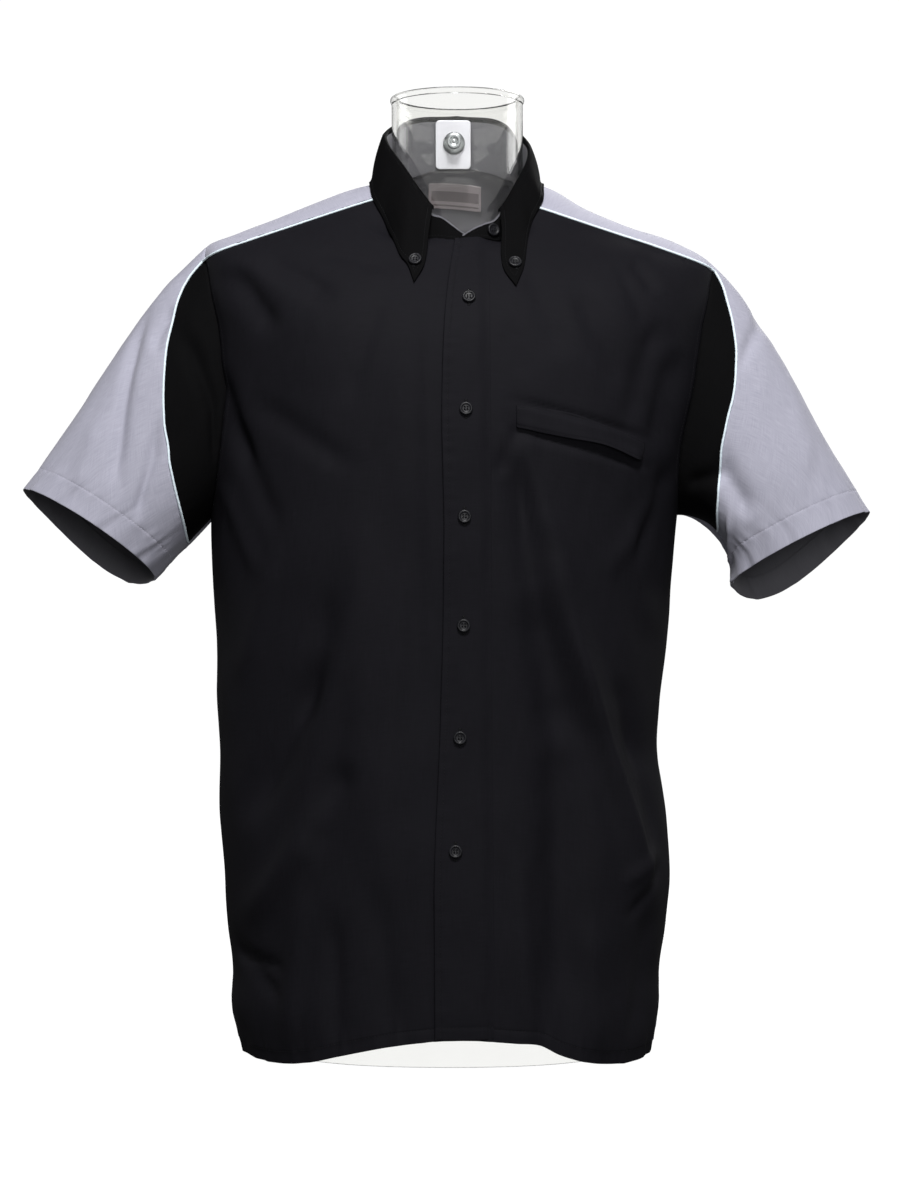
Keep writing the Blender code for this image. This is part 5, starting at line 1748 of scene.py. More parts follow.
        sheet = on_body(grid[..., 0], grid[..., 1], self.half_wall)
        sheet.seam(BOTH_ENDS, 0.9, 0.3).seam((Edge.HIGH,), 0.9, 0.25)
        sheet.groove(Edge.HIGH, TOPSTITCH).allowance((*BOTH_ENDS, Edge.HIGH))
        sheet.pucker(Edge.LOW, 0.0, 0.7, 67.0, 30.0).groove(Edge.LOW, self.hem_width, 0.3)
        sheet.pucker(Edge.LOW, self.hem_width, 0.35, 12.0, 7.0)
        sheet.hem(Edge.LOW, self.hem_width).rounded((Edge.LOW,))
        self.grey_sewing.run(sheet.line(Edge.LOW, self.hem_width, (1, 1)))
        # its inner face is painted darker, as shade inside the shirt
        self.wardrobe.sew("back", sheet, GREY_CLOTH, "grey_cloth", "draped",
                          ("dress_form_acrylic",), self.hem_width, inside=GREY_SHADED_INSIDE)

    def yoke(self) -> None:
        """The yoke, from one piped front seam over the shoulders and behind the neck."""
        minus, plus = self.sleeves[-1], self.sleeves[1]
        bounds = np.cumsum([0, self.arm_cols, self.back_cols, self.arm_cols])
        cols = bounds[-1]
        col = np.unique(np.append(stops(640.0, 190, SEAM_LINES, SEAM_LINES) * cols,
                                  bounds[1:3]))
        row = stops(100.0, 34, (0.2, 0.6, 1.2), SEAM_LINES + STITCH_LINES)

        def arm(sleeve: Sleeve, share: Array) -> Array:
            """The armhole's top, from the front corner (0) to the back one (1)."""
            turn = sleeve.corner + (BACK_CORNER - sleeve.corner) * share
            return pairs(*sleeve.seam(turn))

        one = col[col <= bounds[1]] / self.arm_cols
        two = (col[(col > bounds[1]) & (col < bounds[2])] - bounds[1]) / self.back_cols
        three = (col[col >= bounds[2]] - self.arm_cols - self.back_cols) / self.arm_cols
        minus_arm, plus_arm = arm(minus, one), arm(plus, 1 - three)
        minus_arm[:, 0] += 360
        across = minus_arm[-1] + (plus_arm[0] - minus_arm[-1]) * two[:, None]
        outer = np.concatenate([minus_arm, across, plus_arm])
        neck_turns = (360 - minus.side["yoke_neck_angle"], 258, 102,
                      plus.side["yoke_neck_angle"])
        neck = pairs(np.interp(col, bounds, neck_turns), NECK_LEVEL)
        start = yoke_seam(minus, row)
        start[:, 0] += 360
        grid = patch(neck, outer, start, yoke_seam(plus, row), col / cols, row)

        sheet = on_body(grid[..., 0], grid[..., 1], self.half_wall, 30.0)
        sheet.seam((*BOTH_ENDS, Edge.HIGH), 0.9, 0.2, 9.0)
        sheet.groove(Edge.HIGH, TOPSTITCH).allowance((*BOTH_ENDS, Edge.HIGH))
        self.grey_sewing.run(sheet.line(Edge.HIGH, TOPSTITCH, (12, 12)))
        # its inner face is painted darker, as shade inside the shirt
        self.wardrobe.sew("yoke", sheet, GREY_CLOTH, "grey_cloth", "draped",
                          ("dress_form_acrylic",), inside=GREY_SHADED_INSIDE)

    def build(self) -> None:
        """Make all four panels and their stitches."""
        self.front("right_front", -1, 7, 330.0, 104)
        self.front("left_front", 1, 4, 245.0, 80)
        self.back()
        self.yoke()
        self.sewing.make(self.wardrobe, "front_stitches", BLACK_THREAD, "black_cloth")
        self.grey_sewing.make(self.wardrobe, "back_stitches", GREY_THREAD, "grey_cloth")


# ------------------------------------------------------------------ the sleeves

@dataclass
class SleevePair:
    """Both sleeves: the grey sleeve with its turned cuff, and the black crescent
    between the armhole and the piped seam."""

    wardrobe: Wardrobe
    sleeves: dict[int, Sleeve]
    half_wall: float = 0.42
    cuff_hem: float = 22.0
    front_stops: int = 14
    top_stops: int = 7
    back_stops: int = 9
    cuff_band: float = 30.0  # where lines keep their distance from the cuff
    sewing: Sewing = field(default_factory=Sewing)

    def cloth(self, sleeve: Sleeve, turn: Array, along: Array) -> Sheet:
        """Sheet on a sleeve, whose outside is away from the line of the sleeve's middle.

        Args:
            sleeve: the sleeve.
            turn: one for each column.
            along: grid of places along the sleeve.

        Returns:
            The sheet.
        """
        middle = sleeve.point(np.broadcast_to(turn, along.shape), along)
        root = BODY.point(*sleeve.seam(np.array([0.0, 90.0, 180.0, -90.0]))).mean(0)
        run = sleeve.middle - root
        share = np.clip((middle - root) @ run / (run @ run), 0, 1)
        return Sheet.over(middle, middle - (root + share[..., None] * run), self.half_wall)

    def sleeve(self, name: str, sleeve: Sleeve) -> None:
        """One grey sleeve, open along the underarm seam and cut away for the crescent.

        Args:
            name: the solid's name.
            sleeve: the sleeve.
        """
        front, top = self.front_stops, self.front_stops + self.top_stops
        total = top + self.back_stops
        col = np.unique(np.append(stops(380.0, 170, SEAM_LINES, SEAM_LINES) * total,
                                  (front, top)))
        turn = np.where(
            col <= front, sleeve.front_turn(np.clip(col / front, 0, 1)),
            np.where(col <= top,
                     sleeve.corner + (BACK_CORNER - sleeve.corner) * (col - front)
                     / self.top_stops,
                     BACK_CORNER + (270 - BACK_CORNER) * (col - top) / self.back_stops))
        begin = np.where(turn <= sleeve.corner,
                         sleeve.piped(np.minimum(turn, sleeve.corner)), 0.0)
        step = stops(sleeve.length_mm, 62, SEAM_LINES,
                     (*HEM_LINES, *around_line(self.cuff_hem)))[:, None]
        # lines by the cuff keep their distance from it on every column
        share = np.linspace(0, 1, 41)[:, None]
        path = sleeve.base(np.broadcast_to(turn, (41, len(turn))), begin + (1 - begin) * share)
        length = np.linalg.norm(np.diff(path, axis=0), axis=-1).sum(0)
        edge = np.minimum(self.cuff_band, 0.6 * length)
        first = 1 - self.cuff_band / sleeve.length_mm
        from_cuff = np.where(step >= first, edge * (1 - step) / (1 - first),
                             edge + (length - edge) * (first - step) / first)
        sheet = self.cloth(sleeve, turn, 1 - (1 - begin) * from_cuff / length)
        sheet.seam(BOTH_ENDS, 0.7, 0.25).seam((Edge.LOW,), 0.9, 0.25)
        sheet.groove(Edge.HIGH, self.cuff_hem, 0.32)
        sheet.pucker(Edge.HIGH, self.cuff_hem, 0.4, 11.0, 8.0)
        sheet.pucker(Edge.HIGH, 0.0, 0.9, 47.0, 26.0)
        sheet.allowance((*BOTH_ENDS, Edge.LOW))
        sheet.hem(Edge.HIGH, self.cuff_hem, 0.6).rounded((Edge.HIGH,), 0.7)
        # its inner face is painted much darker, as shade inside the sleeve
        self.wardrobe.sew(name, sheet, GREY_CLOTH, "grey_cloth", "hung",
                          ("yoke_cloth", "back_cloth"), self.cuff_hem, inside=GREY_DEEP_SHADED_INSIDE)
        self.sewing.run(sheet.line(Edge.HIGH, self.cuff_hem, (1, 1)))

    def panel(self, name: str, sleeve: Sleeve, front: str) -> None:
        """The black crescent on the sleeve's front.

        Args:
            name: the solid's name.
            sleeve: the sleeve.
            front: the piece that it hangs from.
        """
        turn = sleeve.front_turn(stops(290.0, 96, (0.5, 1.5), (0.5, 1.5)))
        row = stops(45.0, 22, SEAM_LINES, SEAM_LINES)[:, None]
        sheet = self.cloth(sleeve, turn, sleeve.piped(turn) * row)
        sheet.dip(Edge.LOW, 0.55, 1.6).dip(Edge.HIGH, 0.9).dip(Edge.START, 0.7)
        sheet.pucker(Edge.LOW, 1.0, 0.14, 13.0).pucker(Edge.HIGH, 1.0, 0.25)
        sheet.allowance((Edge.LOW, Edge.HIGH, Edge.START))
        # the panel takes the darker black poplin: painted shade
        self.wardrobe.sew(name, sheet, SHADED_BLACK_CLOTH, "black_cloth", "hung", (front,))

    def build(self) -> None:
        """Make both sleeves and their stitches."""
        for side, sign in (("right", -1), ("left", 1)):
            self.sleeve(f"{side}_sleeve", self.sleeves[sign])
            self.panel(f"{side}_sleeve_panel", self.sleeves[sign], f"{side}_front_cloth")
        self.sewing.make(self.wardrobe, "cuff_stitches", GREY_THREAD, "grey_cloth")


@dataclass
class Piping:
    """The white corded piping in the yoke's front seams and round the sleeves' fronts:
    a circle carried along the seam, with round ends and a slight gather."""

    wardrobe: Wardrobe
    sleeves: dict[int, Sleeve]
    radius: float = 1.05
    lift: float = 0.9  # of the cord's middle above the cloth's
    sides: int = 12
    step: float = 0.9

    def cord(self, name: str, path: Array, away: Array, cut: tuple[float, float]) -> None:
        """Carry the cord along a path at even steps, and closer ones at its ends.

        Args:
            name: the solid that the cord stands for.
            path: points of the seam.
            away: outward directions there.
            cut: lengths to leave out at the two ends.
        """
        s = travelled(path)
        even = np.arange(cut[0], s[-1] - cut[1], self.step)
        even = np.concatenate([even[:1], even[:1] + (0.1, 0.35), even[1:-1],
                               even[-1:] - (0.35, 0.1), even[-1:]])
        path, away = at_distance(path, s, even), unit(at_distance(away, s, even))
        tangent = unit(np.gradient(path, axis=0))
        across = unit(np.cross(tangent, away))
        up = np.cross(across, tangent)
        s = travelled(path)
        ends = np.clip(np.minimum(s, s[-1] - s) / self.radius, 0, 1)
        thick = self.radius * np.maximum(np.sqrt(1 - (1 - ends) ** 2), 0.12)
        thick = thick * (1 + 0.045 * np.sin(2 * math.pi * s / 4.6)
                         + 0.03 * np.sin(2 * math.pi * s / 11.0))
        middle = path + up * self.lift
        turn = circle(self.sides)[None, :, None]
        ring = middle[:, None] + thick[:, None, None] * (
            np.cos(turn) * across[:, None] + np.sin(turn) * up[:, None])
        flat = np.stack(np.broadcast_arrays(turn[0, :, 0] * self.radius * MM,
                                            (s * MM)[:, None]), -1).reshape(-1, 2)
        self.wardrobe.add(f"{name}_cord", ring.reshape(-1, 3), tube(len(path), self.sides),
                          PIPING_CLOTH, "piping", (name,), flat, 80.0)

    def build(self) -> None:
        """Make all four cords."""
        for side, sign in (("right", -1), ("left", 1)):
            sleeve = self.sleeves[sign]
            seam = yoke_seam(sleeve, np.linspace(0, 1, 90)).T
            path, away = BODY.point(*seam), BODY.normal(*seam)
            self.cord(f"{side}_yoke_piping", path, away, (14.0, 0.0))
            last, last_away = path[-2:-1], away[-2:-1]
            turn = np.concatenate([np.linspace(sleeve.corner, 52, 60),
                                   np.linspace(51.5, -88, 200)])
            along = sleeve.piped(turn)
            d_turn = sleeve.point(turn + 0.5, along) - sleeve.point(turn - 0.5, along)
            d_along = sleeve.point(turn, along + 0.01) - sleeve.point(turn, along - 0.01)
            away = unit(np.cross(d_along, d_turn)) * sign
            self.cord(f"{side}_sleeve_piping",
                      np.concatenate([last, sleeve.point(turn, along)]),
                      np.concatenate([last_away, away]), (0.0, 0.2))


# ------------------------------------------------------------------- the collar

SKIN_ANGLE, SKIN_LEVEL = np.meshgrid(np.arange(-180, 180, 2.5), np.arange(440, 886, 4.0))
SKIN_POINT = BODY.point(SKIN_ANGLE, SKIN_LEVEL).reshape(-1, 3)
SKIN_NORMAL = BODY.normal(SKIN_ANGLE, SKIN_LEVEL).reshape(-1, 3)


def keep_off(points: Array, least: Any, inside: bool = False) -> Array:
    """Push points until each is far enough outside (or inside) the shirt: the height
    above the nearest of the shirt's sample points is made up along its normal.

    Args:
        points: a grid of points.
        least: the least height of each.
        inside: keep the points inside instead.

    Returns:
        The moved grid.
    """
    flat = points.reshape(-1, 3).copy()
    way = -1 if inside else 1
    for _ in range(3):
        for part in np.array_split(np.arange(len(flat)), max(1, len(flat) // 60)):
            away = np.linalg.norm(flat[part, None] - SKIN_POINT[None], axis=-1)
            near = np.argmin(away, axis=1)
            height = way * np.sum((flat[part] - SKIN_POINT[near]) * SKIN_NORMAL[near], -1)
            push = np.clip(np.broadcast_to(least, len(flat))[part] - height, 0, 30)
            flat[part] += way * SKIN_NORMAL[near] * push[:, None]
    return flat.reshape(points.shape)


def refine(grid: Array, rows: Array, cols: Array) -> Array:
    """Read a coarse grid smoothly at finer rows and columns.

    Args:
        grid: the coarse grid.
        rows, cols: places in its own row and column numbers.

    Returns:
        The fine grid.
    """
    row_at, col_at = np.arange(grid.shape[0]), np.arange(grid.shape[1])
    flat = grid.reshape(len(row_at), -1)
    tall = np.stack([curve(rows, row_at, flat[:, i]) for i in range(flat.shape[1])], -1)
    tall = tall.reshape(len(rows), len(col_at), 3).swapaxes(0, 1).reshape(len(col_at), -1)
    fine = np.stack([curve(cols, col_at, tall[:, i]) for i in range(tall.shape[1])], -1)
    return fine.reshape(len(cols), len(rows), 3).swapaxes(0, 1)


@dataclass
class Collar:
    """The band, its grey inner side, and the fall that rolls over it and buttons down.
    angle is degrees round the neck, from the button end past the back to the other."""

    wardrobe: Wardrobe
    top_half: float = 64.5
    top_front: float = 67.5
    top_back: float = 60.5
    band_wall: float = 1.4
    inside_half: float = 0.3
    inside_shift: float = -1.02
    fall_wall: float = 1.5
    lap: float = 2.4
    band_start: float = 27.0
    band_end: float = -362.0
    leaf_lift: float = 2.2
    edge_stitch: float = 5.5
    band_stitch: float = 3.0
    bows: tuple[float, float] = (7.0, 11.0)
    sewing: Sewing = field(default_factory=Sewing)

    def radial(self, angle: Array) -> Array:
        """Outward directions round the neck."""
        t = np.radians(angle)
        return np.stack([np.sin(t), -np.cos(t), t * 0], -1)

    def ring(self, angle: Array, out: Any = 0.0) -> Array:
        """Points of the fold line's ring.

        Args:
            angle: turns round the neck, of any size.
            out: distance away from the ring.

        Returns:
            The points.
        """
        t = np.radians(angle)
        reach = np.where(np.cos(t) > 0, self.top_front, self.top_back)
        turn = (np.asarray(angle, float) + 180) % 360 - 180
        return np.stack([NECK_X + (self.top_half + out) * np.sin(t),
                         -(reach + out) * np.cos(t), read(FOLD_LINE, turn)], -1)

    def stands_out(self, angle: Array) -> Array:
        """How far the buttonhole end stands out over the button end."""
        return self.lap * smooth(-np.asarray(angle, float), 300, 332)

    def band(self) -> None:
        """The band round the neck, and its grey inner side. Each is a straight blend of
        the neck's edge and the top line."""
        cols = np.unique(np.append(np.linspace(0, 1, 220),
                                   (0.0004, 0.001, 0.002, 0.998, 0.999, 0.9996)))
        angle = self.band_start + (self.band_end - self.band_start) * cols
        out = self.radial(angle)
        lap = self.stands_out(angle)[:, None]
        base = BODY.point(angle, NECK_LEVEL) + (0, 0, -0.5) + out * (lap + 0.35)
        top = self.ring(angle) + out * lap
        under = np.where(angle > -24, read(BAND_UNDER, angle), np.inf)
        over = np.where(angle < -322, read(BAND_OVER, angle + 360), np.inf)
        top[:, 2] = np.minimum(top[:, 2] - 1.4, np.minimum(under, over))
        top[:, 2] = np.maximum(top[:, 2], base[:, 2] + 4.5)
        # both ends of the band are rounded at the top
        turn_down = np.minimum(cols, 1 - cols) * 385.0
        top[:, 2] -= 2.5 * np.clip(1 - turn_down / 5.0, 0, 1) ** 2
        rows = stops(45.0, 16, (0.2, 0.6, 2.4, 3.0, 3.6), (0.2, 0.6, 1.2))
        step = rows[:, None, None]

        outer = Sheet.over(base + (top + (0, 0, -0.8) - base) * step, out[None],
                           self.band_wall / 2)
        outer.rounded(tuple(Edge), 0.6).groove(Edge.LOW, self.band_stitch, 0.2, 0.6)
        outer.pucker(Edge.LOW, 2.0, 0.12, 8.0, 4.0)
        # the band takes the darker black poplin: painted shade
        self.wardrobe.sew("collar_stand", outer, SHADED_BLACK_CLOTH, "black_cloth", "folded",
                          ("yoke_cloth",), name="collar_band_cloth")
        self.band_line = outer.line(Edge.LOW, self.band_stitch, (3, 3))

        # the grey side stands above the black one from the opening to the neck's sides
        half_turn = np.abs((angle + 180) % 360 - 180)
        top[:, 2] += -2.6 + 3.4 * (1 - smooth(half_turn, 78, 122))
        wave = np.sin(angle / 9.0 + 1.4 * np.sin(angle / 23.0))[:, None]
        middle = base + (top - base) * step + out * self.inside_shift
        middle = middle - out * 0.6 * (1 + wave) * np.sin(np.pi * step)
        inner = Sheet.over(middle, out[None], self.inside_half).rounded(tuple(Edge), 0.6)
        # the grey inner side is painted much darker, as shade inside the collar
        self.wardrobe.sew("", inner, GREY_DEEP_SHADED_INSIDE, "grey_cloth", "folded", ("yoke_cloth",),
                          name="collar_band_inside")

    def leaves(self) -> Sheet:
        """The fall, one piece from point to point. Its outer edge passes through a
        table of places; the surface runs from the fold line to that edge with a slight
        swell, is pushed clear of the shirt, and is rolled over the band's top.

        Returns:
            The fall's sheet.
        """
        edge = np.array([BODY.on_front(x, z, self.leaf_lift)[0][0] if y is None
                         else (x, y, z) for _, x, y, z in FALL_EDGE], float)
        edge_angle = -np.array([row[0] for row in FALL_EDGE], float)
        cols, rows = 46, 5
        at = np.interp(np.linspace(0, 1, cols + 1), np.linspace(0, 1, len(edge)), edge_angle)
        outer = np.stack([curve(at, edge_angle, column) for column in edge.T], -1)
        clear = self.band_wall / 2 + self.fall_wall / 2 + 0.55
        fold = self.ring(-at, clear + self.stands_out(-at))
        fold[:, 2] += 0.8
        step = np.linspace(0, 1, rows + 1)[:, None, None]
        grid = fold + (outer - fold) * step
        grid = grid + self.radial(-at) * 2.2 * np.sin(np.pi * step) * (1 - 0.35 * step)
        # the front edges bow towards the opening and meet the outer edge in a corner
        for first, sign, bow in ((0, 1, self.bows[0]), (cols, -1, self.bows[1])):
            share = step[:, 0, 0] ** 1.1 * np.sqrt(np.maximum(1 - step[:, 0, 0], 0)) * 2.1
            for k, keep in enumerate((1.0, 0.72, 0.42, 0.18, 0.05)):
                grid[:, first + sign * k, 0] += sign * bow * keep * share
        least = np.linspace(0, self.leaf_lift, rows + 1)[:, None] * np.ones(cols + 1)
        least[0] = -99
        grid = keep_off(grid, least.reshape(-1))
        ends = (*EDGE_LINES, *around_line(self.edge_stitch))
        col = stops(560.0, 190, ends, ends) * cols
        row = stops(55.0, 26, (1.2,), ends) * rows
        fine = refine(grid, row[row > 0.12], col)
        # rows that carry the fall over the top of the band
        angle = -np.interp(col, np.arange(cols + 1), at)
        lap = self.stands_out(angle)
        first, last = -0.55, clear
        turn = np.radians(np.array([-40, 0, 25, 50, 75, 100, 125, 150, 172]))[:, None]
        out = (first + last) / 2 - (last - first) / 2 * np.cos(turn)
        over = self.ring(np.broadcast_to(angle, (len(turn), len(angle))), out + lap)
        over[..., 2] += -0.9 + 1.25 * np.sin(turn)
        over[0, :, 2] = over[1, :, 2] - 1.6
        over[0, :, :2] = over[1, :, :2]
        middle = np.concatenate([over, fine])
        sheet = Sheet.over(middle, self.radial(angle)[None] + (0, 0, 0.2),
                           self.fall_wall / 2)
        drop = sheet.reach(Edge.LOW)
        for side in BOTH_ENDS:
            near = sheet.reach(side)
            roll = 2.6 * bell(near, 24) * np.sin(
                np.pi * np.clip((drop - 6) / 52, 0, 1)) ** 1.5
            sheet.middle = sheet.middle + self.radial(angle)[None] * roll[..., None]
        sheet = Sheet.over(sheet.middle, sheet.away, self.fall_wall / 2)
        for side in (Edge.START, Edge.END, Edge.HIGH):
            sheet.groove(side, self.edge_stitch, 0.28).pucker(side, 2.0, 0.12, 9.0, 4.0)
        sheet.rounded((Edge.START, Edge.END, Edge.HIGH), 0.7)
        sheet.rounded((Edge.LOW,), 0.5)
        sheet.back[:8] *= 0.55
        # the fall takes the darker black poplin: painted shade
        self.wardrobe.sew("collar_fall", sheet, SHADED_BLACK_CLOTH, "black_cloth", "folded",
                          ("collar_band_cloth",))
        return sheet

    def build(self) -> None:
        """Make the collar and its stitches."""
        self.band()
        self.fall = self.leaves()
        stitch = self.edge_stitch
        for side, trim in ((Edge.START, (12, stitch)), (Edge.END, (12, stitch)),
                           (Edge.HIGH, (stitch, stitch))):
            self.sewing.run(self.fall.line(side, stitch, trim))
        self.sewing.run(self.band_line)
        self.sewing.make(self.wardrobe, "collar_stitches", BLACK_THREAD, "black_cloth")


# ------------------------------------------- placket, pocket, label and buttons

@dataclass
class FrontTrim:
    """What lies on the fronts: the placket with its buttonholes, and the pocket's
    welt."""

    wardrobe: Wardrobe
    panels: BodyPanels
    hem: float = 29.5
    lift: float = 1.1
    wall: float = 1.6
    stitch: float = 5.0
    hem_stitch: float = 10.8
    button_gap: float = 93.0
    welt_half: float = 0.5
    welt_stitch: float = 2.2
    sewing: Sewing = field(default_factory=Sewing)

    def placket(self) -> None:
        """The folded strip down the left front's edge."""
        total = self.panels.low_rows + self.panels.high_rows
        row = stops(total * self.panels.row_mm, 250, (*EDGE_LINES, 10.2, 10.8, 11.4),
                    (0.5, 1.0)) * total
        levels = self.panels.front_edge(row, self.hem, NECK_LEVEL - 4.0)
        z = curve(levels, RING["level"], RING["z_front"])
        left, right = (BODY.angle_at(read(table, z), levels)
                       for table in (PLACKET_LEFT, PLACKET_RIGHT))
        lines = (*HEM_LINES, *around_line(self.stitch))
        across = stops(40.0, 16, lines, lines)
        angle = left[:, None] * (1 - across) + right[:, None] * across
        level = np.broadcast_to(levels[:, None], angle.shape)
        sheet = on_body(angle, level, self.wall / 2)
        flush = smooth(sheet.reach(Edge.END), 0.0, 13.0)
        sheet.move((self.lift + self.wall / 2 + 0.5) * flush - 0.5)
        # the strip lifts a little between buttons, and at its free edge
        gap = np.array(PLACKET_BUTTONS)[:, 1]
        off = np.min(np.abs(sheet.middle[..., 2, None] - gap), axis=-1)
        lifted = 0.55 * np.sin(np.pi * np.clip(off / self.button_gap, 0, 1)) ** 2
        free = np.exp(-(sheet.reach(Edge.START) / 9.0))
        sheet.move(lifted * (0.5 * flush + free))
        sheet.groove(Edge.START, self.stitch, 0.3)
        sheet.pucker(Edge.START, self.stitch, 0.25, 10.0, 5.0)
        sheet.groove(Edge.LOW, self.hem_stitch, 0.25).rounded(tuple(Edge), 0.7)
        self.wardrobe.sew("placket", sheet, BLACK_CLOTH, "black_cloth", "folded",
                          ("left_front_cloth",), 10.0)
        self.sewing.run(sheet.line(Edge.START, self.stitch, (1, 2)))
        self.sewing.run(sheet.line(Edge.LOW, self.hem_stitch, (5.5, 1.0)))

    def pocket(self) -> None:
        """The welt of the chest pocket, which stands off below, most at its outer end."""
        lines = (*EDGE_LINES, 2.0, 2.6)
        t = stops(112.0, 44, lines, lines)
        low, high = (BODY.find(*(curve(t, np.linspace(0, 1, len(table)), column)
                                 for column in np.array(table, float).T))
                     for table in (POCKET_BOTTOM, POCKET_TOP))
        lines = (*EDGE_LINES, 1.6, 2.2, 2.8)
        up = stops(18.0, 12, lines, lines)
        grid = low + (high - low) * up[:, None, None]
        sheet = on_body(grid[..., 0], grid[..., 1], self.welt_half)
        gape = (1.4 + t**2 * 4.6)[None] * ((1 - up) ** 2)[:, None] * np.sin(np.pi * np.clip(
            (1 - t) / 0.16, 0, 0.5))[None]
        sheet.move(1.35 + gape)
        sheet.dip(Edge.HIGH, 0.7, 0.9).dip(Edge.START, 0.5, 0.9).dip(Edge.END, 0.5, 0.9)
        for side in (Edge.LOW, Edge.HIGH):
            sheet.groove(side, self.welt_stitch, 0.35, 0.6)
        sheet.rounded(tuple(Edge), 0.5)
        self.wardrobe.sew("pocket_welt", sheet, BLACK_CLOTH, "black_cloth", "folded",
                          ("left_front_cloth",))
        for side in (Edge.LOW, Edge.HIGH, *BOTH_ENDS):
            line = sheet.line(side, self.welt_stitch, (self.welt_stitch, self.welt_stitch))
            self.sewing.run(line, 2.4, 1.8)

    def build(self) -> None:
        """Make the trim, its stitches and the buttonholes."""
        self.placket()
        self.pocket()
        x, z = np.array(PLACKET_BUTTONS).T
        points, normals = BODY.on_front(x, z, self.lift + self.wall + 0.05)
        for point, normal in zip(points, normals):
            run = unit(np.cross(normal, np.array([1.0, 0.0, 0.0])))
            self.sewing.buttonhole(point, normal, run)
        self.sewing.make(self.wardrobe, "placket_stitches", BLACK_THREAD, "black_cloth")


@dataclass
class Buttons:
    """Dark pearly four-hole buttons, turned: a dished face, a round rim, four wells, and
    two bars of thread."""

    wardrobe: Wardrobe
    collar: Collar
    trim: FrontTrim
    radius: float = 5.75
    thick: float = 2.6
    hole_out: float = 1.15  # of a hole's middle from the button's, along both axes
    hole_radius: float = 0.62
    hole_deep: float = 1.3
    sides: int = 72
    # Radii of the face's rings; its profile; the underside's radii and heights: all as
    # shares of the button's radius and thickness.
    face: tuple[float, ...] = (0.04, 0.1, 0.16, 0.2, 0.24, 0.28, 0.31, 0.34, 0.37, 0.4,
                               0.44, 0.49, 0.55, 0.62, 0.67, 0.72, 0.78, 0.84, 0.9, 0.95,
                               0.985, 1.0)
    dish: tuple[tuple[float, ...], ...] = ((0, 0.5, 0.62, 0.72, 0.84, 0.95, 1),
                                           (0.66, 0.68, 0.76, 0.97, 1.0, 0.86, 0.55))
    under: tuple[tuple[float, ...], ...] = ((1.0, 0.97, 0.9, 0.8), (0.4, 0.18, 0.04, 0.0))
    thread: Sewing = field(default_factory=lambda: Sewing(radius=0.24))
    holes: Sewing = field(default_factory=Sewing)

    def button(self, name: str, seat: Array, normal: Array) -> None:
        """One button. Its height over radius and turn is the dish's profile less a
        steep well at each hole.

        Args:
            name: the solid that it stands for.
            seat: middle of its underside.
            normal: the way it faces.
        """
        up = unit(np.asarray(normal, float))
        side = unit(np.cross(up, np.array([0.0, 0.0, 1.0])))
        over = np.cross(side, up)
        radii = self.radius * np.append(self.face, self.under[0])
        heights = self.thick * np.append(np.interp(self.face, *self.dish), self.under[1])
        turn = circle(self.sides)
        x, y = radii[:, None] * np.cos(turn), radii[:, None] * np.sin(turn)
        well = np.hypot(np.abs(x) - self.hole_out, np.abs(y) - self.hole_out)
        well = 1 - smooth(well, self.hole_radius * 0.7, self.hole_radius * 1.2)
        on_face = (np.arange(len(radii)) < len(self.face))[:, None]
        h = heights[:, None] - on_face * self.hole_deep * well
        ring = seat + x[..., None] * side + y[..., None] * over + h[..., None] * up
        top = seat + up * self.thick * self.dish[1][0]
        self.wardrobe.add(f"{name}_resin",
                          np.concatenate([[top], ring.reshape(-1, 3), [seat]]),
                          tube(len(radii), self.sides, True), BUTTON_RESIN, "button",
                          (name,), sharp=50.0)
        level = self.thick * 0.68 + 0.05
        reach = over * (self.hole_out + 0.15)
        for way in (-1, 1):
            for strand in (-0.22, 0.0, 0.22):
                low = seat + side * (way * self.hole_out + strand) + up * level
                self.thread.bars((low - reach)[None], (low + reach)[None], up[None])

    def leaf_button(self, side: str, x: float, z: float) -> None:
        """A button and its leaning buttonhole on one point of the fall.

        Args:
            side: left or right.
            x, z: its place as seen from the front.
        """
        sheet = self.collar.fall
        grid = sheet.middle + sheet.away * sheet.out[..., None]
        score = (grid[..., 0] - x) ** 2 + (grid[..., 2] - z) ** 2 + 1e4 * (grid[..., 1] > 0)
        k = np.unravel_index(int(np.argmin(score)), score.shape)
        normal = unit(sheet.away[max(k[0] - 2, 0):k[0] + 3, k[1]].mean(0))
        run = unit(np.cross(normal, np.array([1.0, 0.0, 0.0])))
        lean = unit(run + (0.25 if x < 0 else -0.25) * np.cross(run, normal))
        self.holes.buttonhole(grid[k] + normal * 0.05, normal, lean, 6.6, 1.1)
        self.button(f"collar_button_{side}", grid[k] + normal * 0.45, normal)

    def stand_button(self) -> None:
        """The button of the band, on the line from the neck's edge to the band's top."""
        x, z = STAND_BUTTON
        angle = math.degrees(math.asin((x - NECK_X) / self.collar.top_half))
        radial = unit(np.array([math.sin(math.radians(angle)),
                                -math.cos(math.radians(angle)), 0.12]))
        foot, top = BODY.point(angle, NECK_LEVEL), self.collar.ring(np.array(angle))
        seat = foot + (top - foot) * (z - foot[2]) / (top[2] - foot[2])
        seat = seat + radial * (self.collar.lap + self.collar.band_wall / 2 + 0.75)
        self.button("stand_button", seat, radial)

    def build(self) -> None:
        """Make all nine buttons, their thread, and the leaves' buttonholes."""
        x, z = np.array(PLACKET_BUTTONS).T
        points, normals = BODY.on_front(x, z, self.trim.lift + self.trim.wall + 0.5)
        for i, (point, normal) in enumerate(zip(points, normals), 1):
            self.button(f"placket_button_{i}", point, normal)
        for side, place in LEAF_BUTTONS.items():
            self.leaf_button(side, *place)
        self.stand_button()
        self.thread.make(self.wardrobe, "button_thread", BLACK_THREAD, "black_cloth")
        self.holes.make(self.wardrobe, "leaf_buttonholes", BLACK_THREAD, "black_cloth")


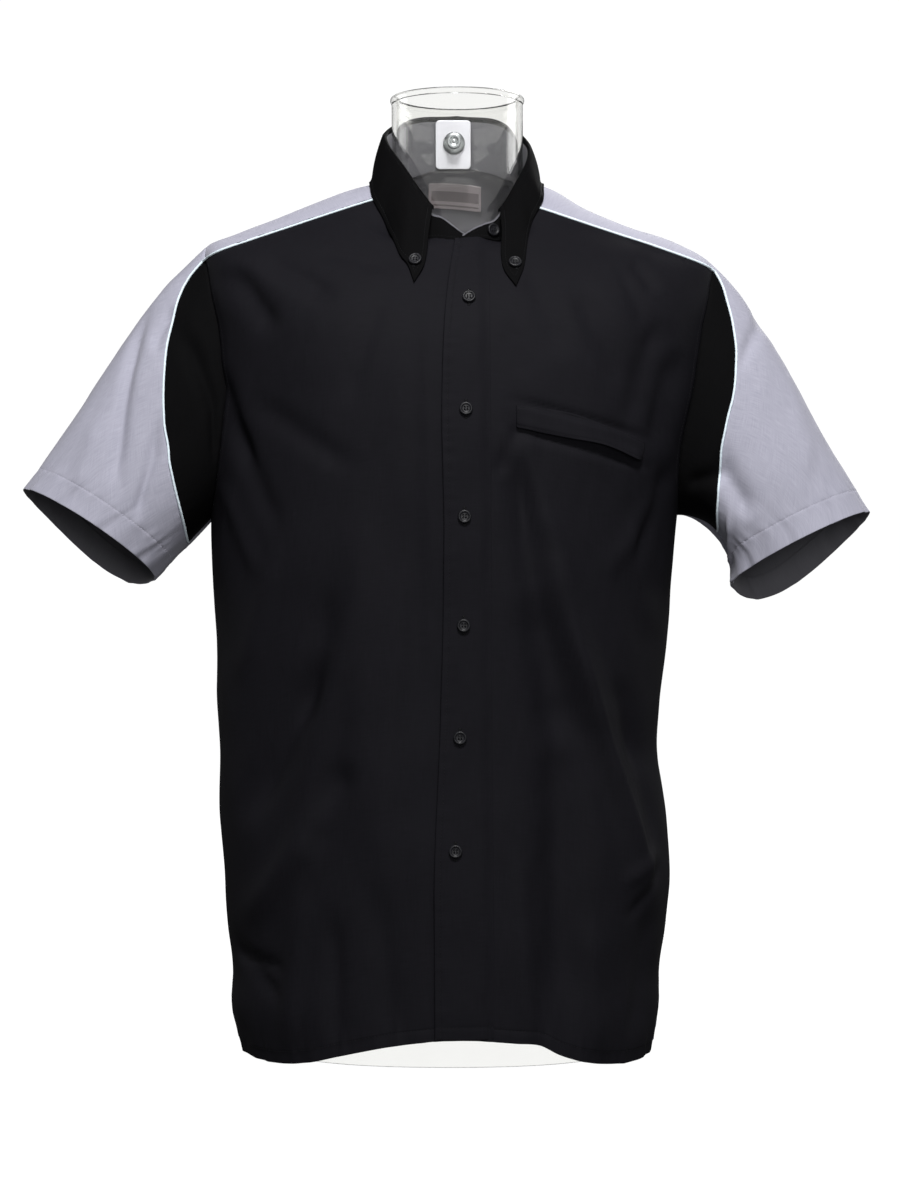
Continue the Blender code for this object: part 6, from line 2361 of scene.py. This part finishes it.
@dataclass
class NeckLabel:
    """A plain woven label inside the back of the neck, sewn at its two ends."""

    wardrobe: Wardrobe
    x: tuple[float, float] = (-21.5, 30.0)
    z: tuple[float, float] = (768.5, 791.0)
    tilt: float = -0.07
    wall: float = 0.9
    lift: float = 1.5
    stitch: float = 2.0

    def build(self) -> None:
        """Make the label, which follows the yoke's inner face, and its stitches."""
        ends = (0.2, 0.5, 1.6, 2.0, 2.4)
        across, up = stops(46.0, 30, ends, ends), stops(25.0, 16, (0.2, 0.5), (0.2, 0.5))
        z = (self.z[0] + (self.z[1] - self.z[0]) * up)[:, None]
        z = z + self.tilt * (self.x[1] - self.x[0]) * (across[None] - 0.5)
        x = (self.x[0] + (self.x[1] - self.x[0]) * across)[None] + z * 0
        level = np.interp(z, RING["z_back"], RING["level"])
        sheet = on_body(180 - BODY.angle_at(x, level), level, self.wall / 2)
        bow = 0.5 * np.sin(np.pi * across)[None] * np.sin(np.pi * up)[:, None]
        sheet.move(-self.lift - self.wall / 2 - bow + 0.45)
        sheet.away = -sheet.away
        for side in BOTH_ENDS:
            sheet.groove(side, self.stitch, 0.2, 0.5)
        sheet.rounded(tuple(Edge), 0.45)
        # the label's dark colour is painted shade
        self.wardrobe.sew("neck_label", sheet, SHADED_LABEL_CLOTH, "label", "hung", ("yoke_cloth",))
        sewing = Sewing(radius=0.16)
        for side in BOTH_ENDS:
            sewing.run(sheet.line(side, self.stitch, (1, 1)), 2.0, 1.5)
        sewing.make(self.wardrobe, "label_stitches", GREY_THREAD, "label")


# --------------------------------------------------------------------- the form

@dataclass
class DressForm:
    """The clear form: rings inside the shirt, a round neck with a beaded rim, and the
    metal plate and knob in the neck."""

    wardrobe: Wardrobe
    wall: float = 4.0
    clear_ridge: float = 2.4
    clear: float = 4.0
    sections: int = 34  # points of a coarse ring
    sides: int = 170  # of a fine one
    low_levels: tuple[int, ...] = (0, 50, 130, 210, 290, 370, 440)
    high_levels: tuple[int, ...] = (510, 575, 630, 675, 705, 727, 750, 785, 820, 855, 880)
    # Each ring of the neck: radius, and heights in front, at the sides and behind.
    neck_rings: tuple[tuple[float, float, float, float], ...] = (
        (60.4, 728, 783, 803), (59.4, 742, 794, 812), (59.0, 765, 808, 822),
        (59.0, 802, 828, 837), (59.0, 846, 847, 848), (59.3, 850.0, 850.0, 850.3),
        (60.0, 851.3, 851.3, 851.3), (60.3, 852.9, 852.9, 852.9),
        (60.0, 854.4, 854.4, 854.4), (59.2, 855.3, 855.3, 855.3),
        (58.3, 855.5, 855.5, 855.5))
    plate_x: tuple[float, float] = (-13.8, 19.4)
    plate_z: tuple[float, float] = (799.0, 844.0)
    plate_y: float = 48.9  # of its face
    knob_x: float = 3.7
    knob_z: float = 822.5
    knob_face: float = 32.7
    corner: float = 4.0
    # How far the plate's outline is drawn in, and at which depth behind its face.
    plate_eases: tuple[tuple[float, float], ...] = (
        (0.9, 0.0), (0.45, 0.02), (0.12, 0.15), (0.0, 0.45), (0.0, 1.3), (0.3, 1.6))
    # The knob's profile: radius and distance, from its face and then from its foot.
    knob_head: tuple[tuple[float, float], ...] = (
        (0.9, 1.0), (1.3, 1.15), (1.5, 1.8), (1.6, 2.6), (3.3, 2.6), (3.6, 2.4), (3.7, 0.7),
        (3.9, 0.2), (4.3, 0.0), (5.8, 0.0), (6.4, 0.25), (6.7, 0.9), (6.7, 6.4), (6.4, 6.9),
        (5.6, 7.2), (5.4, 8.2))
    knob_foot: tuple[tuple[float, float], ...] = (
        (5.4, -4.6), (6.4, -4.2), (9.4, -3.8), (10.1, -3.2), (10.2, -0.5), (9.8, 0.0))
    knob_rim: float = 6.7
    knurl_deep: float = 0.16
    knurls: int = 32
    knob_sides: int = 96

    def rings(self) -> Array:
        """Rings of the form's outside, from its foot to its rim: a smaller bust, kept
        clear of the cloth, and above it circles whose height follows a squared cosine.

        Returns:
            A row of points for each ring.
        """
        body, count = Bust(inset=FORM_GAP), self.sections
        angle = np.linspace(0, 360, count, endpoint=False)
        lower, upper = (np.array([body.plain(angle, np.full(count, float(level)))
                                  for level in levels])
                        for levels in (self.low_levels, self.high_levels))
        off_ridge = smooth(np.abs(np.cos(np.radians(angle))), 0.12, 0.32)
        clear = self.clear_ridge + (self.clear - self.clear_ridge) * off_ridge
        rings = [*lower, *keep_off(upper, np.tile(clear, len(upper)), inside=True)]
        t = np.radians(angle)
        for radius, z_front, z_side, z_back in self.neck_rings:
            z_end = np.where(np.cos(t) > 0, z_front, z_back)
            z = z_side + (z_end - z_side) * np.cos(t) ** 2
            rings.append(np.stack([NECK_X + radius * np.sin(t), -radius * np.cos(t), z], -1))
        return np.array(rings)

    def body(self) -> bpy.types.Object:
        """The hollow form, one wall from foot to rim.

        Returns:
            The piece.
        """
        coarse = self.rings()
        wrapped = np.concatenate([coarse[:, -3:], coarse, coarse[:, :4]], axis=1)
        tail = len(coarse) - (len(self.neck_rings) - 4)
        rows = np.append(np.arange(0, tail, 0.2), np.arange(tail, len(coarse) - 1 + 0.01, 0.5))
        grid = refine(wrapped, rows, 3 + np.arange(self.sides) * self.sections / self.sides)
        ahead = np.roll(grid, -1, axis=1) - np.roll(grid, 1, axis=1)
        away = unit(np.cross(ahead, np.gradient(grid, axis=0)))
        if np.mean(np.sum(away[:5] * grid[:5] * (1, 1, 0), -1)) < 0:
            away = -away
        # the neck's walls and the foot's edge go straight out
        flat_way = unit(away * (1, 1, 0))
        share = smooth(rows, len(coarse) - 9, len(coarse) - 7)[:, None, None]
        away = unit(away * (1 - share) + flat_way * share)
        away[0] = flat_way[0]
        rim = np.clip((grid[..., 2] - 851.5) / 4.0, 0, 1)
        sheet = Sheet(grid, away, rim * 0, self.wall - 1.1 * rim**2)
        points, faces, flat = sheet.mesh(around=True)
        form = self.wardrobe.add("dress_form_acrylic", points, faces, CLEAR_ACRYLIC, "form",
                                 ("dress_form",), flat, 40.0)
        form.visible_shadow = False  # clear walls let the light through
        return form

    def plate(self) -> None:
        """The flat plate with round corners and eased edges: one outline, drawn in at
        its two faces."""
        (x0, x1), (z0, z1), r = self.plate_x, self.plate_z, self.corner
        turn = np.linspace(0, math.pi / 2, 9) + np.arange(4)[:, None] * math.pi / 2
        middle = np.array(((x1 - r, z1 - r), (x0 + r, z1 - r), (x0 + r, z0 + r),
                           (x1 - r, z0 + r)))[:, None]
        outline = (middle + r * np.stack([np.cos(turn), np.sin(turn)], -1)).reshape(-1, 2)
        way = unit(outline - outline.mean(0))
        grid = np.array([np.insert(outline - way * inset, 1, self.plate_y + depth, axis=1)
                         for inset, depth in self.plate_eases])
        self.wardrobe.add("neck_plate_metal", grid.reshape(-1, 3), tube(*grid.shape[:2]),
                          PLATE_METAL, "metal", ("neck_plate",), sharp=45.0)

    def knob(self) -> None:
        """The turned knob: a profile carried round the Y axis, with a knurled rim and a
        recess in its face."""
        face, foot = self.knob_face, self.plate_y - 0.35
        radius, y = np.concatenate([np.array(self.knob_head) + (0, face),
                                    np.array(self.knob_foot) + (0, foot)]).T
        turn = circle(self.knob_sides)
        knurled = (radius == self.knob_rim)[:, None]
        wide = radius[:, None] - knurled * self.knurl_deep * (1 + np.cos(turn * self.knurls))
        ring = np.stack([self.knob_x + wide * np.cos(turn), y[:, None] + wide * 0,
                         self.knob_z + wide * np.sin(turn)], -1)
        points = np.concatenate([[(self.knob_x, face + 0.95, self.knob_z)],
                                 ring.reshape(-1, 3), [(self.knob_x, foot, self.knob_z)]])
        self.wardrobe.add("neck_knob_metal", points, tube(len(radius), self.knob_sides, True),
                          KNOB_METAL, "metal", ("neck_knob",), sharp=35.0)

    def build(self) -> bpy.types.Object:
        """Make the form and its fitting.

        Returns:
            The form.
        """
        self.plate()
        self.knob()
        return self.body()


# ------------------------------------------------------------------- the studio

@dataclass
class Studio:
    """Camera, lights, and a pale floor that curves up on all sides. Sizes are in
    metres."""

    wardrobe: Wardrobe
    distance: float = 2.5
    level: float = 0.404
    lens: float = 36 * 2.5 / 1.08
    sky: float = 0.13
    aim: tuple[float, float, float] = (0.0, 0.0, 0.5)
    floor_inner: tuple[float, float] = (0.5, 2.0)
    floor_flat: float = 5.5
    floor_bend: float = 1.5
    floor_tall: float = 7.0
    floor_sides: int = 96

    def lamp(self, name: str, place: Sequence[float], power: float, size: float
             ) -> bpy.types.Object:
        """Add a square area light that points at the shirt.

        Args:
            name: the light's name.
            place: where it stands.
            power: watts.
            size: length of its side.

        Returns:
            The light.
        """
        light = bpy.data.lights.new(name, "AREA")
        light.energy, light.size = power, size
        thing = bpy.data.objects.new(name, light)
        thing.location = place
        thing.rotation_euler = (Vector(self.aim) - Vector(place)).to_track_quat(
            "-Z", "Y").to_euler()
        bpy.context.scene.collection.objects.link(thing)
        return thing

    def floor(self) -> None:
        """A round floor that bends up into a wall on all sides: a profile of radius and
        height, carried round the upright axis."""
        bend, flat = self.floor_bend, self.floor_flat
        turn = np.linspace(0, math.pi / 2, 17)
        radius = np.concatenate([self.floor_inner, flat + bend * np.sin(turn), [flat + bend]])
        z = np.concatenate([[0.0, 0.0], bend * (1 - np.cos(turn)), [self.floor_tall]])
        around = circle(self.floor_sides)
        grid = np.stack([radius[:, None] * np.cos(around), radius[:, None] * np.sin(around),
                         z[:, None] + around * 0], -1)
        quads, ends = tube(len(radius), self.floor_sides)
        mesh = bpy.data.meshes.new("studio_floor")
        mesh.from_pydata(grid.reshape(-1, 3).tolist(), [],
                         quads.tolist() + ends[:1].tolist())
        mesh.shade_smooth()
        mesh.materials.append(self.wardrobe.material(STUDIO_FLOOR))
        thing = bpy.data.objects.new("studio_floor", mesh)
        bpy.context.scene.collection.objects.link(thing)
        # the pale room is seen, but soft lamps alone light the cloth
        thing.visible_diffuse = thing.visible_glossy = False

    def spare(self, piece: bpy.types.Object) -> None:
        """Keep the two front lamps' glare off a clear piece.

        Args:
            piece: the clear piece.
        """
        group = bpy.data.collections.new("spared")
        group.objects.link(piece)
        group.collection_objects[0].light_linking.link_state = "EXCLUDE"
        for lamp in self.glaring:
            lamp.light_linking.receiver_collection = group

    def camera(self) -> None:
        """The camera at the photograph's angle: level, square on to the front."""
        data = bpy.data.cameras.new("camera")
        data.lens, data.sensor_width, data.sensor_fit = self.lens, 36.0, "AUTO"
        thing = bpy.data.objects.new("camera", data)
        x, y = -CENTRE[:2] * MM
        thing.location = (x, y - self.distance, self.level)
        thing.rotation_euler = (math.pi / 2, 0.0, 0.0)
        bpy.context.scene.collection.objects.link(thing)
        bpy.context.scene.camera = thing

    def build(self) -> None:
        """Set up the studio."""
        scene = bpy.context.scene
        scene.view_settings.view_transform = "Standard"
        self.floor()
        self.camera()
        scene.world = bpy.data.worlds.new("studio")
        scene.world.use_nodes = True
        sky = scene.world.node_tree.nodes["Background"]
        sky.inputs["Color"].default_value = (1.0, 1.0, 1.0, 1.0)
        sky.inputs["Strength"].default_value = self.sky
        self.glaring = (self.lamp("key", (0.12, -1.9, 2.6), 97.0, 0.7),
                        self.lamp("front", (0.4, -3.0, 0.9), 30.0, 1.0))
        self.lamp("left_rim", (-2.6, 1.1, 1.1), 7.0, 1.2)
        self.lamp("right_rim", (2.6, 1.1, 1.1), 12.0, 1.2)
        self.lamp("back", (0.9, 2.2, 2.4), 42.0, 0.9)


def main() -> None:
    """Build the dressed model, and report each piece."""
    logging.basicConfig(level=logging.INFO, format="%(name)s %(message)s")
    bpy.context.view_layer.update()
    wardrobe = Wardrobe()
    studio = Studio(wardrobe)
    studio.build()
    sleeves = {sign: Sleeve(sign) for sign in SIDES}
    studio.spare(DressForm(wardrobe).build())
    panels = BodyPanels(wardrobe, sleeves)
    panels.build()
    SleevePair(wardrobe, sleeves).build()
    Piping(wardrobe, sleeves).build()
    collar = Collar(wardrobe)
    collar.build()
    trim = FrontTrim(wardrobe, panels)
    trim.build()
    Buttons(wardrobe, collar, trim).build()
    NeckLabel(wardrobe).build()


if __name__ == "__main__":
    main()
